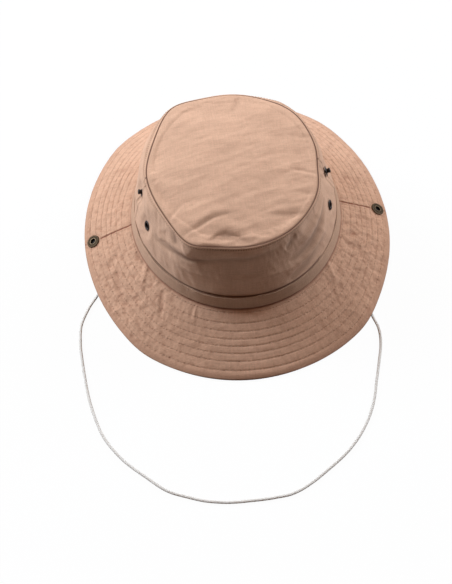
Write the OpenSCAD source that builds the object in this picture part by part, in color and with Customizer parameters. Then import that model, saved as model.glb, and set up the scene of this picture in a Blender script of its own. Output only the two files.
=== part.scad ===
// Wide-brim boonie hat with snap-up brim sides, side vents and a chin cord.
// +Z is up, the front of the hat faces -Y, and z = 0 is the plane the brim rests on.
// The origin is the centre of the head opening, dropped to that plane.
// "Left" pieces lie at -X (side = -1) and "right" pieces at +X (side = 1).

/* [Head opening] */
// Half width of the crown at its base, measured side to side
base_half_w = 91.5; // [84:0.5:98]

/* [Crown] */
// Height of the side wall from the base seam to the top seam
wall_h = 62; // [54:1:76]
// How far the wall leans in over that height
wall_lean = 18; // [12:0.5:22]
// Thickness of the crown cloth with its seam allowance
cloth_t = 0.9; // [0.7:0.1:1.2]
// Rise of the top panel above its seam
dome_h = 4.5; // [3:0.5:8]
// Width of the strip sewn round the crown as a band
band_w = 12.5; // [10:0.5:16]
// Thickness of the band
band_t = 1; // [0.8:0.1:1.4]
// Height of the sweatband inside the crown
sweat_h = 25; // [20:1:26]

/* [Brim] */
// Level width of the brim at the front and back
brim_front = 53; // [50:0.5:58]
// Level width of the brim at the sides
brim_side = 44.5; // [43:0.5:46]
// Downward slope of the brim in degrees
brim_slope = 27.4; // [25:0.1:30]
// Thickness of each cloth ply of the brim, measured vertically
ply_t = 0.75; // [0.6:0.05:0.85]
// Thickness of the stiffener between the plies
core_t = 0.6; // [0.4:0.05:0.7]
// Distance from the centre line to each fold line of the brim
fold_x = 94; // [93:0.5:96]

/* [Snaps] */
// Distance of each stud up the wall from the base seam
stud_up = 45.2; // [43:0.2:47]
// Distance of each socket out along the brim from the base seam
socket_out = 41; // [40:0.2:42]
// Gap between the brim and the wall when the snap is closed
snap_gap = 3.5; // [3.4:0.1:3.8]
// Radius of the snap socket
socket_r = 6.2; // [5.8:0.1:6.3]
// Radius of the flange of the stud
stud_r = 4.4; // [4:0.1:4.8]

/* [Vents] */
// Distance of each vent up the wall from the base seam
vent_up = 33; // [32:0.5:36]
// Angle of each vent from the side seam, seen from the side arc centre
vent_angle = 16; // [14:0.5:20]
// Radius of the vent hole
vent_hole_r = 2.4; // [2:0.1:2.8]
// Radius of the vent flange
vent_flange_r = 4.5; // [4:0.1:5]

/* [Chin cord] */
// Radius of the round braided cord
cord_r = 1.6; // [1.3:0.1:1.7]
// Distance of the cord pivots from the centre line
cord_x = 89; // [88:0.5:90]
// Height of the cord pivots
cord_z = 21; // [20:0.5:22]

/* [Hidden] */

TOP_COLOR = [0.83, 0.69, 0.58];
WALL_COLOR = [0.72, 0.58, 0.48];
TAPE_COLOR = [0.62, 0.48, 0.39];
BAND_COLOR = [0.66, 0.52, 0.43];
SWEATBAND_COLOR = [0.80, 0.68, 0.58];
UPPER_COLOR = [0.76, 0.60, 0.50];
CORE_COLOR = [0.93, 0.91, 0.87];
UNDER_COLOR = [0.66, 0.52, 0.43];
SOCKET_COLOR = [0.42, 0.37, 0.28];
STUD_COLOR = [0.06, 0.06, 0.06];
EYELET_COLOR = [0.07, 0.07, 0.07];
RIVET_COLOR = [0.10, 0.10, 0.10];
TAB_COLOR = [0.60, 0.47, 0.38];
CORD_COLOR = [0.89, 0.85, 0.80];

// rounded to 0.001 mm so that neighbouring arcs meet exactly
function rounded(v) = round(v * 1000) / 1000;

// the base outline is an oval of four tangent arcs that meet at 45 degrees
arc_shift = 17.223;            // distance of each arc centre from the middle
side_radius = base_half_w + arc_shift;
end_radius = side_radius - rounded(arc_shift * sqrt(2));   // front and back arcs
arc_fn = 180;
seam_angle = 0.03;             // half angle of the gap at each side seam

sew_gap = 0.05;                // space left between sewn plies
face_gap = 0.12;               // space left between the wall and most strips sewn to it
brim_t = 2 * ply_t + core_t + 2 * sew_gap;   // measured vertically
brim_fall = tan(brim_slope);   // drop of the brim per mm outward
base_z = brim_front * brim_fall + brim_t;    // height of the base seam
top_z = base_z + wall_h;
wall_length = sqrt(wall_lean * wall_lean + wall_h * wall_h);

// unit vectors in (offset outward, height)
wall_dir = [-wall_lean, wall_h] / wall_length;
wall_normal = [wall_dir.y, -wall_dir.x];
brim_dir = [cos(brim_slope), -sin(brim_slope)];
brim_normal = [-brim_dir.y, brim_dir.x];

// fold axis: the point that carries the socket exactly onto the stud
fold_along = wall_dir - brim_dir;
fold_across = wall_normal + brim_normal;
fold_travel = stud_up - socket_out;
fold_offset = [fold_travel * fold_across.y - snap_gap * fold_along.y,
               snap_gap * fold_along.x - fold_travel * fold_across.x]
              / cross(fold_along, fold_across);
// reported for whoever needs to pose the flaps snapped up
echo(fold_axis_x = base_half_w + fold_offset.x, fold_axis_z = base_z + fold_offset.y,
     fold_angle = atan2(wall_dir.y, wall_dir.x) + brim_slope, base_height = base_z);

// ---- sweeps: every profile is in (offset from the base outline, height) ----
module arc(radius, centre, start, sweep, profile) {
  translate([centre[0], centre[1], 0])
    rotate_extrude(angle = sweep, start = start, $fn = arc_fn)
      polygon([for (p = profile) [rounded(radius + p[0]), p[1]]]);
}
module side_arc(side, start, sweep, profile) {
  arc(side_radius, [-side * arc_shift, 0], start, sweep, profile);
}
module front_arc(profile) { arc(end_radius, [0, -arc_shift], 225, 90, profile); }
module back_arc(profile) { arc(end_radius, [0, arc_shift], 45, 90, profile); }
// side arc from the front arc to just short of the side seam
module front_side_arc(side, profile) {
  side_arc(side, side > 0 ? -45 : 180 + seam_angle, 45 - seam_angle, profile);
}
module ring(profile) {
  side_arc(1, -45, 90, profile);
  side_arc(-1, 135, 90, profile);
  back_arc(profile);
  front_arc(profile);
}
// half of the ring from side seam to side seam
module front_half(profile) {
  front_arc(profile);
  for (side = [-1, 1]) front_side_arc(side, profile);
}
module turned_back() { rotate([0, 0, 180]) children(); }

// strip parallel to the wall, from "low" to "high" along it,
// between "inner" and "outer" out from its face
function wall_point(up, out) = [0, base_z] + wall_dir * up + wall_normal * out;
function strip(low, high, inner, outer) = [
  wall_point(low, inner), wall_point(high, inner),
  wall_point(high, outer), wall_point(low, outer)];
// the same on the inside of the wall cloth
function lining(low, high, gap, thick) =
  strip(low, high, -cloth_t - gap - thick, -cloth_t - gap);

// ---- placement ---------------------------------------------------------
// children are drawn for the right side; the left is half a turn away
module on_side(side) { rotate([0, 0, side > 0 ? 0 : 180]) children(); }
// on the outer face of the wall, with +Z pointing out of it
module on_wall(side, angle, up, out = 0) {
  on_side(side)
    translate([-arc_shift, 0, 0]) rotate([0, 0, angle])
      translate([side_radius + wall_dir.x * up, 0, base_z + wall_dir.y * up])
        rotate([0, atan2(wall_normal.x, wall_normal.y), 0]) translate([0, 0, out]) children();
}
// on the top face of the brim, at the socket, with +Z pointing out of it
module at_socket(side, out = 0) {
  on_side(side)
    translate([base_half_w + brim_dir.x * socket_out, 0, base_z + brim_dir.y * socket_out])
      rotate([0, brim_slope, 0]) translate([0, 0, out]) children();
}
module at_stud(side, out = 0) { on_wall(side, 0, stud_up, out) children(); }
module at_vents(out = 0) {
  for (side = [-1, 1], end = [-1, 1]) on_wall(side, end * vent_angle, vent_up, out) children();
}

// ---- crown -------------------------------------------------------------
top_overhang = 0.1;            // top panel beyond the wall
wall_below = 2.1;              // wall cloth below the base seam
stud_hole_r = 1.5;
vent_hole_play = 0.75;         // hole in the cloth larger than the vent hole
hole_h = 8;                    // length of the wall hole cutters
top_tape_span = [7.5, 1.2];    // edges of the top tape, down from the top seam
top_tape_gap = 0.15;
top_tape_t = 0.75;
side_tape_sweep = 5.4;         // degrees
side_tape_t = 0.48;
side_tape_up = 3;              // above the sweatband
side_tape_down = 9;            // below the top seam
band_up = 0.6;                 // lower edges above the base seam
sweat_up = 0.3;
sweat_t = 1.13;

// lid section: distance in from the edge, share of dome_h
DOME_STEPS = [[0, 0], [14, 0.55], [30, 0.85], [46, 1]];

// solid under a domed lid, from a flat bottom up to edge_z at its rim
module dome_solid(offset_out, bottom_z, edge_z) {
  rim = concat([[offset_out, bottom_z]],
    [for (s = DOME_STEPS) [offset_out - s[0], edge_z + dome_h * s[1]]]);
  // an offset of -radius lies on the arc's own axis
  function filled(radius) = concat([[-radius, edge_z + dome_h], [-radius, bottom_z]], rim);
  side_arc(1, -45, 90, filled(side_radius));
  back_arc(filled(end_radius));
  side_arc(-1, 135, 90, filled(side_radius));
  front_arc(filled(end_radius));
}
module crown_top() {
  edge = -wall_lean - top_overhang;
  color(TOP_COLOR)
  difference() {
    dome_solid(edge, top_z + sew_gap, top_z + sew_gap + cloth_t);
    dome_solid(edge - cloth_t, top_z - 5, top_z + sew_gap);
  }
}
module stud_hole(side) { at_stud(side, -hole_h / 2) cylinder(r = stud_hole_r, h = hole_h, $fn = 48); }
module wall_holes() {
  for (side = [-1, 1]) stud_hole(side);
  at_vents(-hole_h / 2) cylinder(r = vent_hole_r + vent_hole_play, h = hole_h, $fn = 48);
}
module wall_half() {
  difference() {
    front_half([
      [0, base_z - wall_below], [0, base_z], [-wall_lean, top_z],
      [-wall_lean - cloth_t, top_z], [-cloth_t, base_z], [-cloth_t, base_z - wall_below]]);
    wall_holes();
  }
}
module crown_wall_front() { color(WALL_COLOR) wall_half(); }
module crown_wall_back() { color(WALL_COLOR) turned_back() wall_half(); }
// tape that covers the raw edges of the top seam
module top_seam_binding() {
  color(TAPE_COLOR)
    ring(lining(wall_length - top_tape_span[0], wall_length - top_tape_span[1],
                top_tape_gap, top_tape_t));
}
// tape that covers the raw edges of each side seam
module side_seam_bindings() {
  tape = lining(sweat_h + side_tape_up, wall_length - side_tape_down, face_gap, side_tape_t);
  color(TAPE_COLOR)
  for (side = [1, -1]) difference() {
    side_arc(side, (side > 0 ? 0 : 180) - side_tape_sweep / 2, side_tape_sweep, tape);
    stud_hole(side);
  }
}
module hat_band() { color(BAND_COLOR) ring(strip(band_up, band_w, face_gap, face_gap + band_t)); }
module sweatband() { color(SWEATBAND_COLOR) ring(lining(sweat_up, sweat_h, face_gap, sweat_t)); }

// ---- brim --------------------------------------------------------------
brim_inner = 0.06;             // offset of the inner edge of the brim
core_inset = 2.5;              // stiffener short of the brim edge
turned_edge_w = 2;
flap_inner = 0.3;              // offset of the inner edge of the flap profile
flap_extra = 4;                // flap profile beyond the brim edge, trimmed by the edge arc
fold_slit = 0.5;               // gap between flap and brim at the fold line
socket_hole_r = 3.4;
cutter = 200;                  // cutting blocks, larger than the hat
cutter_z = -50;

// depth of the top and bottom of each ply below the brim surface
upper_depth = [0, ply_t];
core_depth = [ply_t + sew_gap, ply_t + sew_gap + core_t];
under_depth = [core_depth[1] + sew_gap, brim_t];

function brim_z(out, depth) = base_z - out * brim_fall - depth;
function ply(inner, outer, depth) = [
  [inner, brim_z(inner, depth[0])], [outer, brim_z(outer, depth[0])],
  [outer, brim_z(outer, depth[1])], [inner, brim_z(inner, depth[1])]];

upper_profile = ply(brim_inner, brim_front, upper_depth);
core_profile = ply(brim_inner, brim_front - core_inset, core_depth);
// under ply with its turned edge, which gives the hat its flat rest
turned_x = brim_front - turned_edge_w;
under_profile = [
  [brim_inner, brim_z(brim_inner, under_depth[0])],
  [brim_front, brim_z(brim_front, under_depth[0])],
  [brim_front, 0], [turned_x, 0],
  [turned_x, brim_z(turned_x, under_depth[1])],
  [brim_inner, brim_z(brim_inner, under_depth[1])]];

// front half of the brim, cut off at the two fold lines
module front_brim(profile) {
  front_arc(profile);
  for (side = [1, -1]) intersection() {
    front_side_arc(side, profile);
    translate([side > 0 ? 0 : -fold_x, -cutter, cutter_z]) cube([fold_x, cutter, cutter]);
  }
}
module brim_front_upper() { color(UPPER_COLOR) front_brim(upper_profile); }
module brim_front_interlining() { color(CORE_COLOR) front_brim(core_profile); }
module brim_front_under() { color(UNDER_COLOR) front_brim(under_profile); }
module brim_back_upper() { color(UPPER_COLOR) turned_back() front_brim(upper_profile); }
module brim_back_interlining() { color(CORE_COLOR) turned_back() front_brim(core_profile); }
module brim_back_under() { color(UNDER_COLOR) turned_back() front_brim(under_profile); }

// side edge of the brim: an arc through the ends of the front and back edges
// and the widest point at the side
corner_x = (end_radius + brim_front) / sqrt(2);
corner_y = arc_shift + corner_x;
brim_half_w = base_half_w + brim_side;
edge_radius = (pow(corner_x - brim_half_w, 2) + pow(corner_y, 2))
              / (2 * (brim_half_w - corner_x));

// side flap: the part of the brim outside the fold line
module flap(side, depth, inset = 0) {
  on_side(side) difference() {
    intersection() {
      side_arc(1, -45, 90, ply(flap_inner, brim_front + flap_extra, depth));
      translate([brim_half_w - edge_radius, 0, cutter_z])
        cylinder(r = edge_radius - inset, h = cutter, $fn = 360);
      translate([fold_x + fold_slit, -cutter, cutter_z]) cube([cutter, 2 * cutter, cutter]);
    }
    at_socket(1, -8) cylinder(r = socket_hole_r, h = 16, $fn = 48);
  }
}
module left_flap_upper() { color(UPPER_COLOR) flap(-1, upper_depth); }
module left_flap_interlining() { color(CORE_COLOR) flap(-1, core_depth, core_inset); }
module left_flap_under() { color(UNDER_COLOR) flap(-1, under_depth); }
module right_flap_upper() { color(UPPER_COLOR) flap(1, upper_depth); }
module right_flap_interlining() { color(CORE_COLOR) flap(1, core_depth, core_inset); }
module right_flap_under() { color(UNDER_COLOR) flap(1, under_depth); }

// ---- snaps -------------------------------------------------------------
brim_thick = brim_t * brim_dir.x;   // square to the brim face
cap_r = socket_r - 0.3;
cap_post_r = 3.2;
cap_bore_r = 2.65;
rivet_head_r = stud_r - 0.4;
rivet_shank_r = 1.15;

// turned sections: radius, height above the face
SOCKET_PROFILE = [
  [2.6, 0.03], [socket_r - 0.5, 0.03], [socket_r, 0.35], [socket_r - 0.2, 0.85],
  [socket_r - 0.8, 1.05], [socket_r - 1.5, 0.95], [socket_r - 2.0, 0.6],
  [3.7, 0.6], [3.3, 0.95], [2.6, 0.95]];
STUD_PROFILE = [
  [0, 2.0], [1.25, 2.0], [1.25, 0.04], [stud_r - 0.3, 0.04], [stud_r, 0.35],
  [stud_r - 0.35, 0.75], [2.6, 0.9], [1.95, 1.3], [1.85, 2.3], [2.2, 3.0],
  [2.2, 3.5], [1.8, 4.0], [0, 4.15]];

module turned(profile) { rotate_extrude($fn = 96) polygon(profile); }
// disc under the brim with a hollow post up through it
module socket_cap() {
  difference() {
    union() {
      translate([0, 0, -brim_thick - 1.0]) cylinder(r = cap_r, h = 0.8, $fn = 96);
      translate([0, 0, -brim_thick - 0.9])
        cylinder(r = cap_post_r, h = brim_thick + 0.85, $fn = 64);
    }
    translate([0, 0, -brim_thick - 0.5]) cylinder(r = cap_bore_r, h = brim_thick + 3, $fn = 64);
  }
}
// head inside the crown with a shank out through the wall
module stud_rivet() {
  translate([0, 0, -cloth_t - 1.75]) cylinder(r = rivet_head_r, h = 0.8, $fn = 64);
  translate([0, 0, -cloth_t - 1.2]) cylinder(r = rivet_shank_r, h = cloth_t + 2.9, $fn = 48);
}
module left_snap_socket() { color(SOCKET_COLOR) at_socket(-1) turned(SOCKET_PROFILE); }
module left_socket_cap() { color(SOCKET_COLOR) at_socket(-1) socket_cap(); }
module right_snap_socket() { color(SOCKET_COLOR) at_socket(1) turned(SOCKET_PROFILE); }
module right_socket_cap() { color(SOCKET_COLOR) at_socket(1) socket_cap(); }
module left_snap_stud() { color(STUD_COLOR) at_stud(-1) turned(STUD_PROFILE); }
module left_stud_rivet() { color(RIVET_COLOR) at_stud(-1) stud_rivet(); }
module right_snap_stud() { color(STUD_COLOR) at_stud(1) turned(STUD_PROFILE); }
module right_stud_rivet() { color(RIVET_COLOR) at_stud(1) stud_rivet(); }

// ---- vents -------------------------------------------------------------
barrel_r = vent_hole_r + 0.55;
washer_bore_r = vent_hole_r + 0.62;
washer_t = 0.6;
// radius, height above the wall face
EYELET_PROFILE = [
  [vent_hole_r, -cloth_t - 1.0], [barrel_r, -cloth_t - 1.0], [barrel_r, 0.05],
  [vent_flange_r - 0.3, 0.05], [vent_flange_r, 0.3], [vent_flange_r - 0.6, 0.75],
  [vent_hole_r + 0.7, 0.75], [vent_hole_r, 0.3]];

module vent_eyelets() { color(EYELET_COLOR) at_vents() turned(EYELET_PROFILE); }
// flat rings round the eyelets inside the crown
module vent_washers() {
  color(RIVET_COLOR) at_vents(-cloth_t - 0.85) difference() {
    cylinder(r = vent_flange_r, h = washer_t, $fn = 64);
    translate([0, 0, -1]) cylinder(r = washer_bore_r, h = washer_t + 2, $fn = 64);
  }
}

// ---- chin cord ---------------------------------------------------------
loop_wall = 1.3;               // loop radius beyond the cord
loop_w = 4.2;
cord_play = 0.3;
strap_size = [1.3, 5];         // thickness in X, width in Y
strap_bottom = cord_z + 1;
strap_top = base_z - wall_below - 0.2;
knot_r = 2.5;
knot_inset = 5.2;              // knot centre inward of the pivot

// strap below the crown wall, with the loop the cord passes through
module cord_tab(side) {
  on_side(side) difference() {
    union() {
      translate([cord_x - 2.4, 0, cord_z]) rotate([0, 90, 0])
        cylinder(r = cord_r + loop_wall, h = loop_w, $fn = 64);
      translate([cord_x - 0.6, -strap_size.y / 2, strap_bottom])
        cube([strap_size.x, strap_size.y, strap_top - strap_bottom]);
    }
    translate([cord_x - 4, 0, cord_z]) rotate([0, 90, 0])
      cylinder(r = cord_r + cord_play, h = 8, $fn = 64);
  }
}
module left_cord_tab() { color(TAB_COLOR) cord_tab(-1); }
module right_cord_tab() { color(TAB_COLOR) cord_tab(1); }

lay = cord_r + 0.02;           // height of the centre line where the cord lies flat
// x, y, z of the centre line: out of the left tab, down under the brim,
// round the open loop on the resting plane and back to the right tab
CORD_WAY = [
  [-cord_x + 2.6, 0, cord_z], [-cord_x - 2.2, 0, cord_z], [-cord_x - 5.5, -1.4, cord_z - 0.5],
  [-cord_x - 12, -10, 15.5], [-cord_x - 26, -30, 5.6],
  [-132, -54, lay], [-144, -78, lay], [-146, -116, lay], [-140, -168, lay], [-120, -212, lay],
  [-88, -244, lay], [-50, -261, lay], [-4, -264, lay], [44, -245, lay], [80, -210, lay],
  [98, -162, lay], [107, -130, lay], [116, -98, lay], [127, -68, lay],
  [cord_x + 36, -46, 2.6], [cord_x + 24, -28, 7.0], [cord_x + 11, -9, 15.8],
  [cord_x + 5.5, -1.4, cord_z - 0.5], [cord_x + 2.2, 0, cord_z], [cord_x - 2.6, 0, cord_z]];
cord_steps = 4;                // tube stations between waypoints
cord_sides = 12;

// Catmull-Rom point between p1 and p2, at share u of the way
function spline(p0, p1, p2, p3, u) =
  0.5 * (2 * p1 + (p2 - p0) * u + (2 * p0 - 5 * p1 + 4 * p2 - p3) * u * u
         + (3 * p1 - p0 - 3 * p2 + p3) * u * u * u);
function lifted(p) = [p[0], p[1], max(p[2], lay)];
way_last = len(CORD_WAY) - 1;
cord_line = concat(
  [for (i = [0:way_last - 1], j = [0:cord_steps - 1])
    lifted(spline(CORD_WAY[max(i - 1, 0)], CORD_WAY[i], CORD_WAY[i + 1],
                  CORD_WAY[min(i + 2, way_last)], j / cord_steps))],
  [CORD_WAY[way_last]]);

// round tube swept along cord_line
module chin_cord() {
  last = len(cord_line) - 1;
  points = [for (i = [0:last])
    let (along = i == 0 || i == last ? [-1, 0, 0] : cord_line[i + 1] - cord_line[i - 1],
         tangent = along / norm(along),
         level = cross([0, 0, 1], tangent),
         across = level / norm(level),
         upward = cross(tangent, across))
      for (j = [0:cord_sides - 1])
        let (angle = 360 * j / cord_sides)
          cord_line[i] + cord_r * (cos(angle) * across + sin(angle) * upward)];
  faces = concat(
    [[for (j = [cord_sides - 1:-1:0]) j]],
    [for (i = [0:last - 1], j = [0:cord_sides - 1])
      let (a = i * cord_sides + j, b = i * cord_sides + (j + 1) % cord_sides)
        [b, b + cord_sides, a + cord_sides, a]],
    [[for (j = [0:cord_sides - 1]) last * cord_sides + j]]);
  color(CORD_COLOR) polyhedron(points = points, faces = faces, convexity = 6);
}
// knot at each end of the cord, on the inner side of its tab
module cord_end_knots() {
  color(CORD_COLOR) for (side = [-1, 1])
    translate([side * (cord_x - knot_inset), 0, cord_z]) sphere(r = knot_r, $fn = 48);
}

crown_top();
crown_wall_front();
crown_wall_back();
top_seam_binding();
side_seam_bindings();
hat_band();
sweatband();
brim_front_upper();
brim_front_interlining();
brim_front_under();
brim_back_upper();
brim_back_interlining();
brim_back_under();
left_flap_upper();
left_flap_interlining();
left_flap_under();
right_flap_upper();
right_flap_interlining();
right_flap_under();
left_snap_socket();
left_socket_cap();
right_snap_socket();
right_socket_cap();
left_snap_stud();
left_stud_rivet();
right_snap_stud();
right_stud_rivet();
vent_eyelets();
vent_washers();
left_cord_tab();
right_cord_tab();
chin_cord();
cord_end_knots();
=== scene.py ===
"""A soft cotton sun hat with a stitched brim whose two sides snap up, and a braided chin cord.

It stands on z = 0 with the front towards -y. Left is -x, as seen from the front. Angles
round the hat start at +x and pass the back (+y) at 90 degrees. Sizes are in millimetres
until a mesh is made; floor, lights and camera are in metres.
"""
import math
from functools import reduce

import bpy
import numpy as np
from mathutils import Matrix, Vector


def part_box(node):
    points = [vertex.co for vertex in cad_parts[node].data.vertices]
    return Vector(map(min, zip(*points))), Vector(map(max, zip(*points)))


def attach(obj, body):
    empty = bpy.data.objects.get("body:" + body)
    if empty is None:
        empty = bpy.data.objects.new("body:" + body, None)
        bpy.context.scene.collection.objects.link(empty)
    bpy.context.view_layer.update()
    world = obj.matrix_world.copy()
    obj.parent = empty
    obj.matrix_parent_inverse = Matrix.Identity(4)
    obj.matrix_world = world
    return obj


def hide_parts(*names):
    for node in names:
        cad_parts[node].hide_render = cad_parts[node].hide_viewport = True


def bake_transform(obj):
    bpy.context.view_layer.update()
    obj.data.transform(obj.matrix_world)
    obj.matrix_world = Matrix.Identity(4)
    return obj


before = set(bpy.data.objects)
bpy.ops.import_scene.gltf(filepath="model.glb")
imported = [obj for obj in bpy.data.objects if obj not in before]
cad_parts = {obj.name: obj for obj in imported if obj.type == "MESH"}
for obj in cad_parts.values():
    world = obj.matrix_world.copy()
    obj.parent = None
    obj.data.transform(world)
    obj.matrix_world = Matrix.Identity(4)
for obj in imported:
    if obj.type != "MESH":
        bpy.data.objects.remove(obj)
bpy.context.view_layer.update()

MM = 0.001
PI = math.pi

# ---------------------------------------------------------------- driving sizes
ARC_SHIFT = 17.223              # centre offset of the four arcs of the head oval
SIDE_RADIUS = 108.723           # the left and right arcs
END_RADIUS = round(SIDE_RADIUS - math.sqrt(2) * ARC_SHIFT, 3)    # arcs meet at 45 degrees
BRIM_SLOPE = math.radians(27.4)
BRIM_WIDTH = 53.0
SEAM_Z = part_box("brim_front_upper")[1].z / MM      # seam between crown and brim
WALL_OUT, WALL_UP = -0.278834, 0.960340            # direction up the crown wall
WALL_LENGTH = 64.56             # measured up its slope
WALL_TOP_Z = SEAM_Z + WALL_LENGTH * WALL_UP
PLY = 0.66
STITCH_ROWS = [3.4, 11.3, 17.4, 23.2, 28.6, 34.0, 39.8, 46.6]   # distance out from the seam
BRIM_PITCH = 2.8                # of the brim stitches
SIDES = (("left", -1), ("right", 1))               # name, sign of x
SIDE_SEAMS = (("right", 0.0, -1), ("left", PI, 1))  # name, angle, turn that leads forward
FELL_STITCHES = (1.0, 5.6)      # stitch lines forward of each side seam
SOCKET_OUT = 36.4               # socket centre from the base oval
EYELET_UP, EYELET_TURN = 33, 16
# metal on the wall: degrees, distance up, radius of the flat round it
WALL_HARDWARE = ((0, 45.2, 7.5), (180, 45.2, 7.5)) + tuple(
    (deg, EYELET_UP, 7)
    for deg in (EYELET_TURN, -EYELET_TURN, 180 - EYELET_TURN, 180 + EYELET_TURN))


# ---------------------------------------------------------------- noise with a fixed table
random = np.random.RandomState(11)
SHUFFLE = random.permutation(256)
gradient_angles = random.rand(256) * 2 * PI
GRADIENT_X, GRADIENT_Y = np.cos(gradient_angles), np.sin(gradient_angles)


def perlin(x, y):
    x, y = np.broadcast_arrays(np.asarray(x, float), np.asarray(y, float))
    cell_x, cell_y = np.floor(x).astype(int), np.floor(y).astype(int)
    dx, dy = x - cell_x, y - cell_y
    mix_x = dx ** 3 * (dx * (dx * 6 - 15) + 10)
    mix_y = dy ** 3 * (dy * (dy * 6 - 15) + 10)

    def corner(i, j):
        pick = SHUFFLE[(SHUFFLE[(cell_x + i) & 255] + cell_y + j) & 255]
        return GRADIENT_X[pick] * (dx - i) + GRADIENT_Y[pick] * (dy - j)

    low = corner(0, 0) * (1 - mix_x) + corner(1, 0) * mix_x
    high = corner(0, 1) * (1 - mix_x) + corner(1, 1) * mix_x
    return 1.5 * (low * (1 - mix_y) + high * mix_y)


def fbm(x, y, octaves=2):
    """Perlin noise summed over finer and finer octaves."""
    total, gain, scale = 0, 1.0, 1.0
    for k in range(octaves):
        total = total + gain * perlin(x * scale + 17.3 * k, y * scale - 9.1 * k)
        gain *= 0.5
        scale *= 2.03
    return total


# ---------------------------------------------------------------- shaping functions
def ease(start, end, value):
    """0 at start rising smoothly to 1 at end; start may be the larger."""
    t = np.clip((np.asarray(value, float) - start) / (end - start), 0, 1)
    return t * t * (3 - 2 * t)


def bump(value, centre, width):
    return np.exp(-((value - centre) / width) ** 2)


def wrap(angle):
    return (angle + PI) % (2 * PI) - PI


def zone(angle, degrees, half):
    """1 at an angle round the hat, falling away within about half degrees."""
    return np.exp(-(np.degrees(wrap(angle - math.radians(degrees))) / half) ** 2)


def run_length(points):
    """Distance along a polyline at each of its points."""
    steps = np.linalg.norm(np.diff(points, axis=0), axis=1)
    return np.concatenate([[0], np.cumsum(steps)])


def resample(rows, grid, wanted):
    return np.stack([np.interp(wanted, grid, row) for row in rows])


def stroke(x, y, points, amount, width, lean):
    """Height of one crease along a polyline, fading at its ends; lean widens its left side."""
    points = np.array(points, float)
    nearest = np.full(x.shape, 1e9)
    side = np.zeros(x.shape)
    along = np.zeros(x.shape)
    run = run_length(points)
    for k in range(len(points) - 1):
        start, step = points[k], points[k + 1] - points[k]
        t = ((x - start[0]) * step[0] + (y - start[1]) * step[1]) / (step @ step)
        t = np.clip(t, 0, 1)
        dx, dy = x - start[0] - t * step[0], y - start[1] - t * step[1]
        distance = np.hypot(dx, dy)
        closer = distance < nearest
        nearest = np.where(closer, distance, nearest)
        side = np.where(closer, np.sign(step[0] * dy - step[1] * dx), side)
        along = np.where(closer, (run[k] + t * (run[k + 1] - run[k])) / run[-1], along)
    fade = np.maximum(np.sin(PI * np.clip(along, 0.0, 1.0)) ** 0.6, 0.12)
    return amount * fade * np.exp(-(nearest / (width * (1 + lean * side))) ** 2)


def add_creases(height, tone, x, y, creases, depth=1.0, spread=1.0, shade=1.0, mask=1.0):
    """Adds creases in place, with painted shade in their hollows; rows are points, height, width,
    lean, darkness.
    """
    x, y = np.broadcast_arrays(x, y)
    for points, amount, width, lean, dark in creases:
        crease = stroke(x, y, points, amount * depth, width * spread, lean)
        height += crease * mask
        tone += np.clip(-crease, 0, 2) * dark * shade


# ---------------------------------------------------------------- the head oval
def oval(angle, offset):
    """Point at a radial offset from the base oval."""
    c, s = np.cos(angle), np.sin(angle)
    on_side = np.abs(c) >= np.abs(s) - 1e-12
    x = np.where(on_side, c * (SIDE_RADIUS + offset) - np.sign(c) * ARC_SHIFT,
                 c * (END_RADIUS + offset))
    y = np.where(on_side, s * (SIDE_RADIUS + offset),
                 s * (END_RADIUS + offset) + np.sign(s) * ARC_SHIFT)
    return x, y


fine_angles = np.linspace(-PI, PI, 7201)
fine_radii = np.where(np.abs(np.cos(fine_angles)) >= np.abs(np.sin(fine_angles)),
                      SIDE_RADIUS, END_RADIUS)
fine_arcs = np.concatenate(
    [[0], np.cumsum((fine_radii[1:] + fine_radii[:-1]) / 2 * np.diff(fine_angles))])


def arc(angle):
    """Length round the base oval from -x, counterclockwise from above; a cloth coordinate."""
    return np.interp(angle, fine_angles, fine_arcs)


def unroll(creases):
    """Turns the degrees in crease points into lengths round the oval."""
    return [([(float(arc(math.radians((deg + 180) % 360 - 180))), across)
              for deg, across in points], *rest) for points, *rest in creases]


def puff_out(angle):
    """How far the soft crown stands out beyond the plain oval at its top."""
    return (7.4 * zone(angle, 129, 17) + 6.8 * zone(angle, -130, 15) + 3.2 * zone(angle, 36, 15)
            - 2.6 * zone(angle, -6, 12) + 1.4 * zone(angle, 178, 12))


def edge_offset(angle):
    """Brim width measured flat: the sides are cut back by an arc of larger radius."""
    cut_radius, cut_shift = 187.66, -34.44
    c, s = np.cos(angle), np.sin(angle)
    cut = cut_shift * np.abs(c) + np.sqrt(cut_radius ** 2 - (cut_shift * s) ** 2)
    return np.where(np.abs(c) >= np.abs(s), np.minimum(cut - SIDE_RADIUS, BRIM_WIDTH), BRIM_WIDTH)


COLUMNS = 1320                                   # round the hat
ANGLES = np.linspace(-PI, PI, COLUMNS + 1)[:-1]
ANGLE_COL = ANGLES[:, None]
ARCS = arc(ANGLES)
ARC_COL = ARCS[:, None]
kernel = np.hanning(61)
edge = edge_offset(ANGLES)
edge = np.convolve(np.concatenate([edge[-60:], edge, edge[:60]]), kernel / kernel.sum(), "same")
EDGE_COL = np.minimum(edge[60:-60], BRIM_WIDTH)[:, None]


def brim_stations():
    """Distances out across the brim, packed close round each stitch row."""
    stations = [0.0, 1.0, 2.0]
    for row, following in zip(STITCH_ROWS, STITCH_ROWS[1:] + [BRIM_WIDTH]):
        stations += [row + d for d in (-1.3, -0.75, -0.35, 0.0, 0.35, 0.75, 1.3)]
        low, high = row + 1.3, following - 1.3
        count = max(1, int(round((high - low) / 0.95)))
        stations += [low + (high - low) * j / count for j in range(1, count)]
    return np.unique(np.round(stations + [52.2, 52.7], 4))


OUT = brim_stations()
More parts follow.
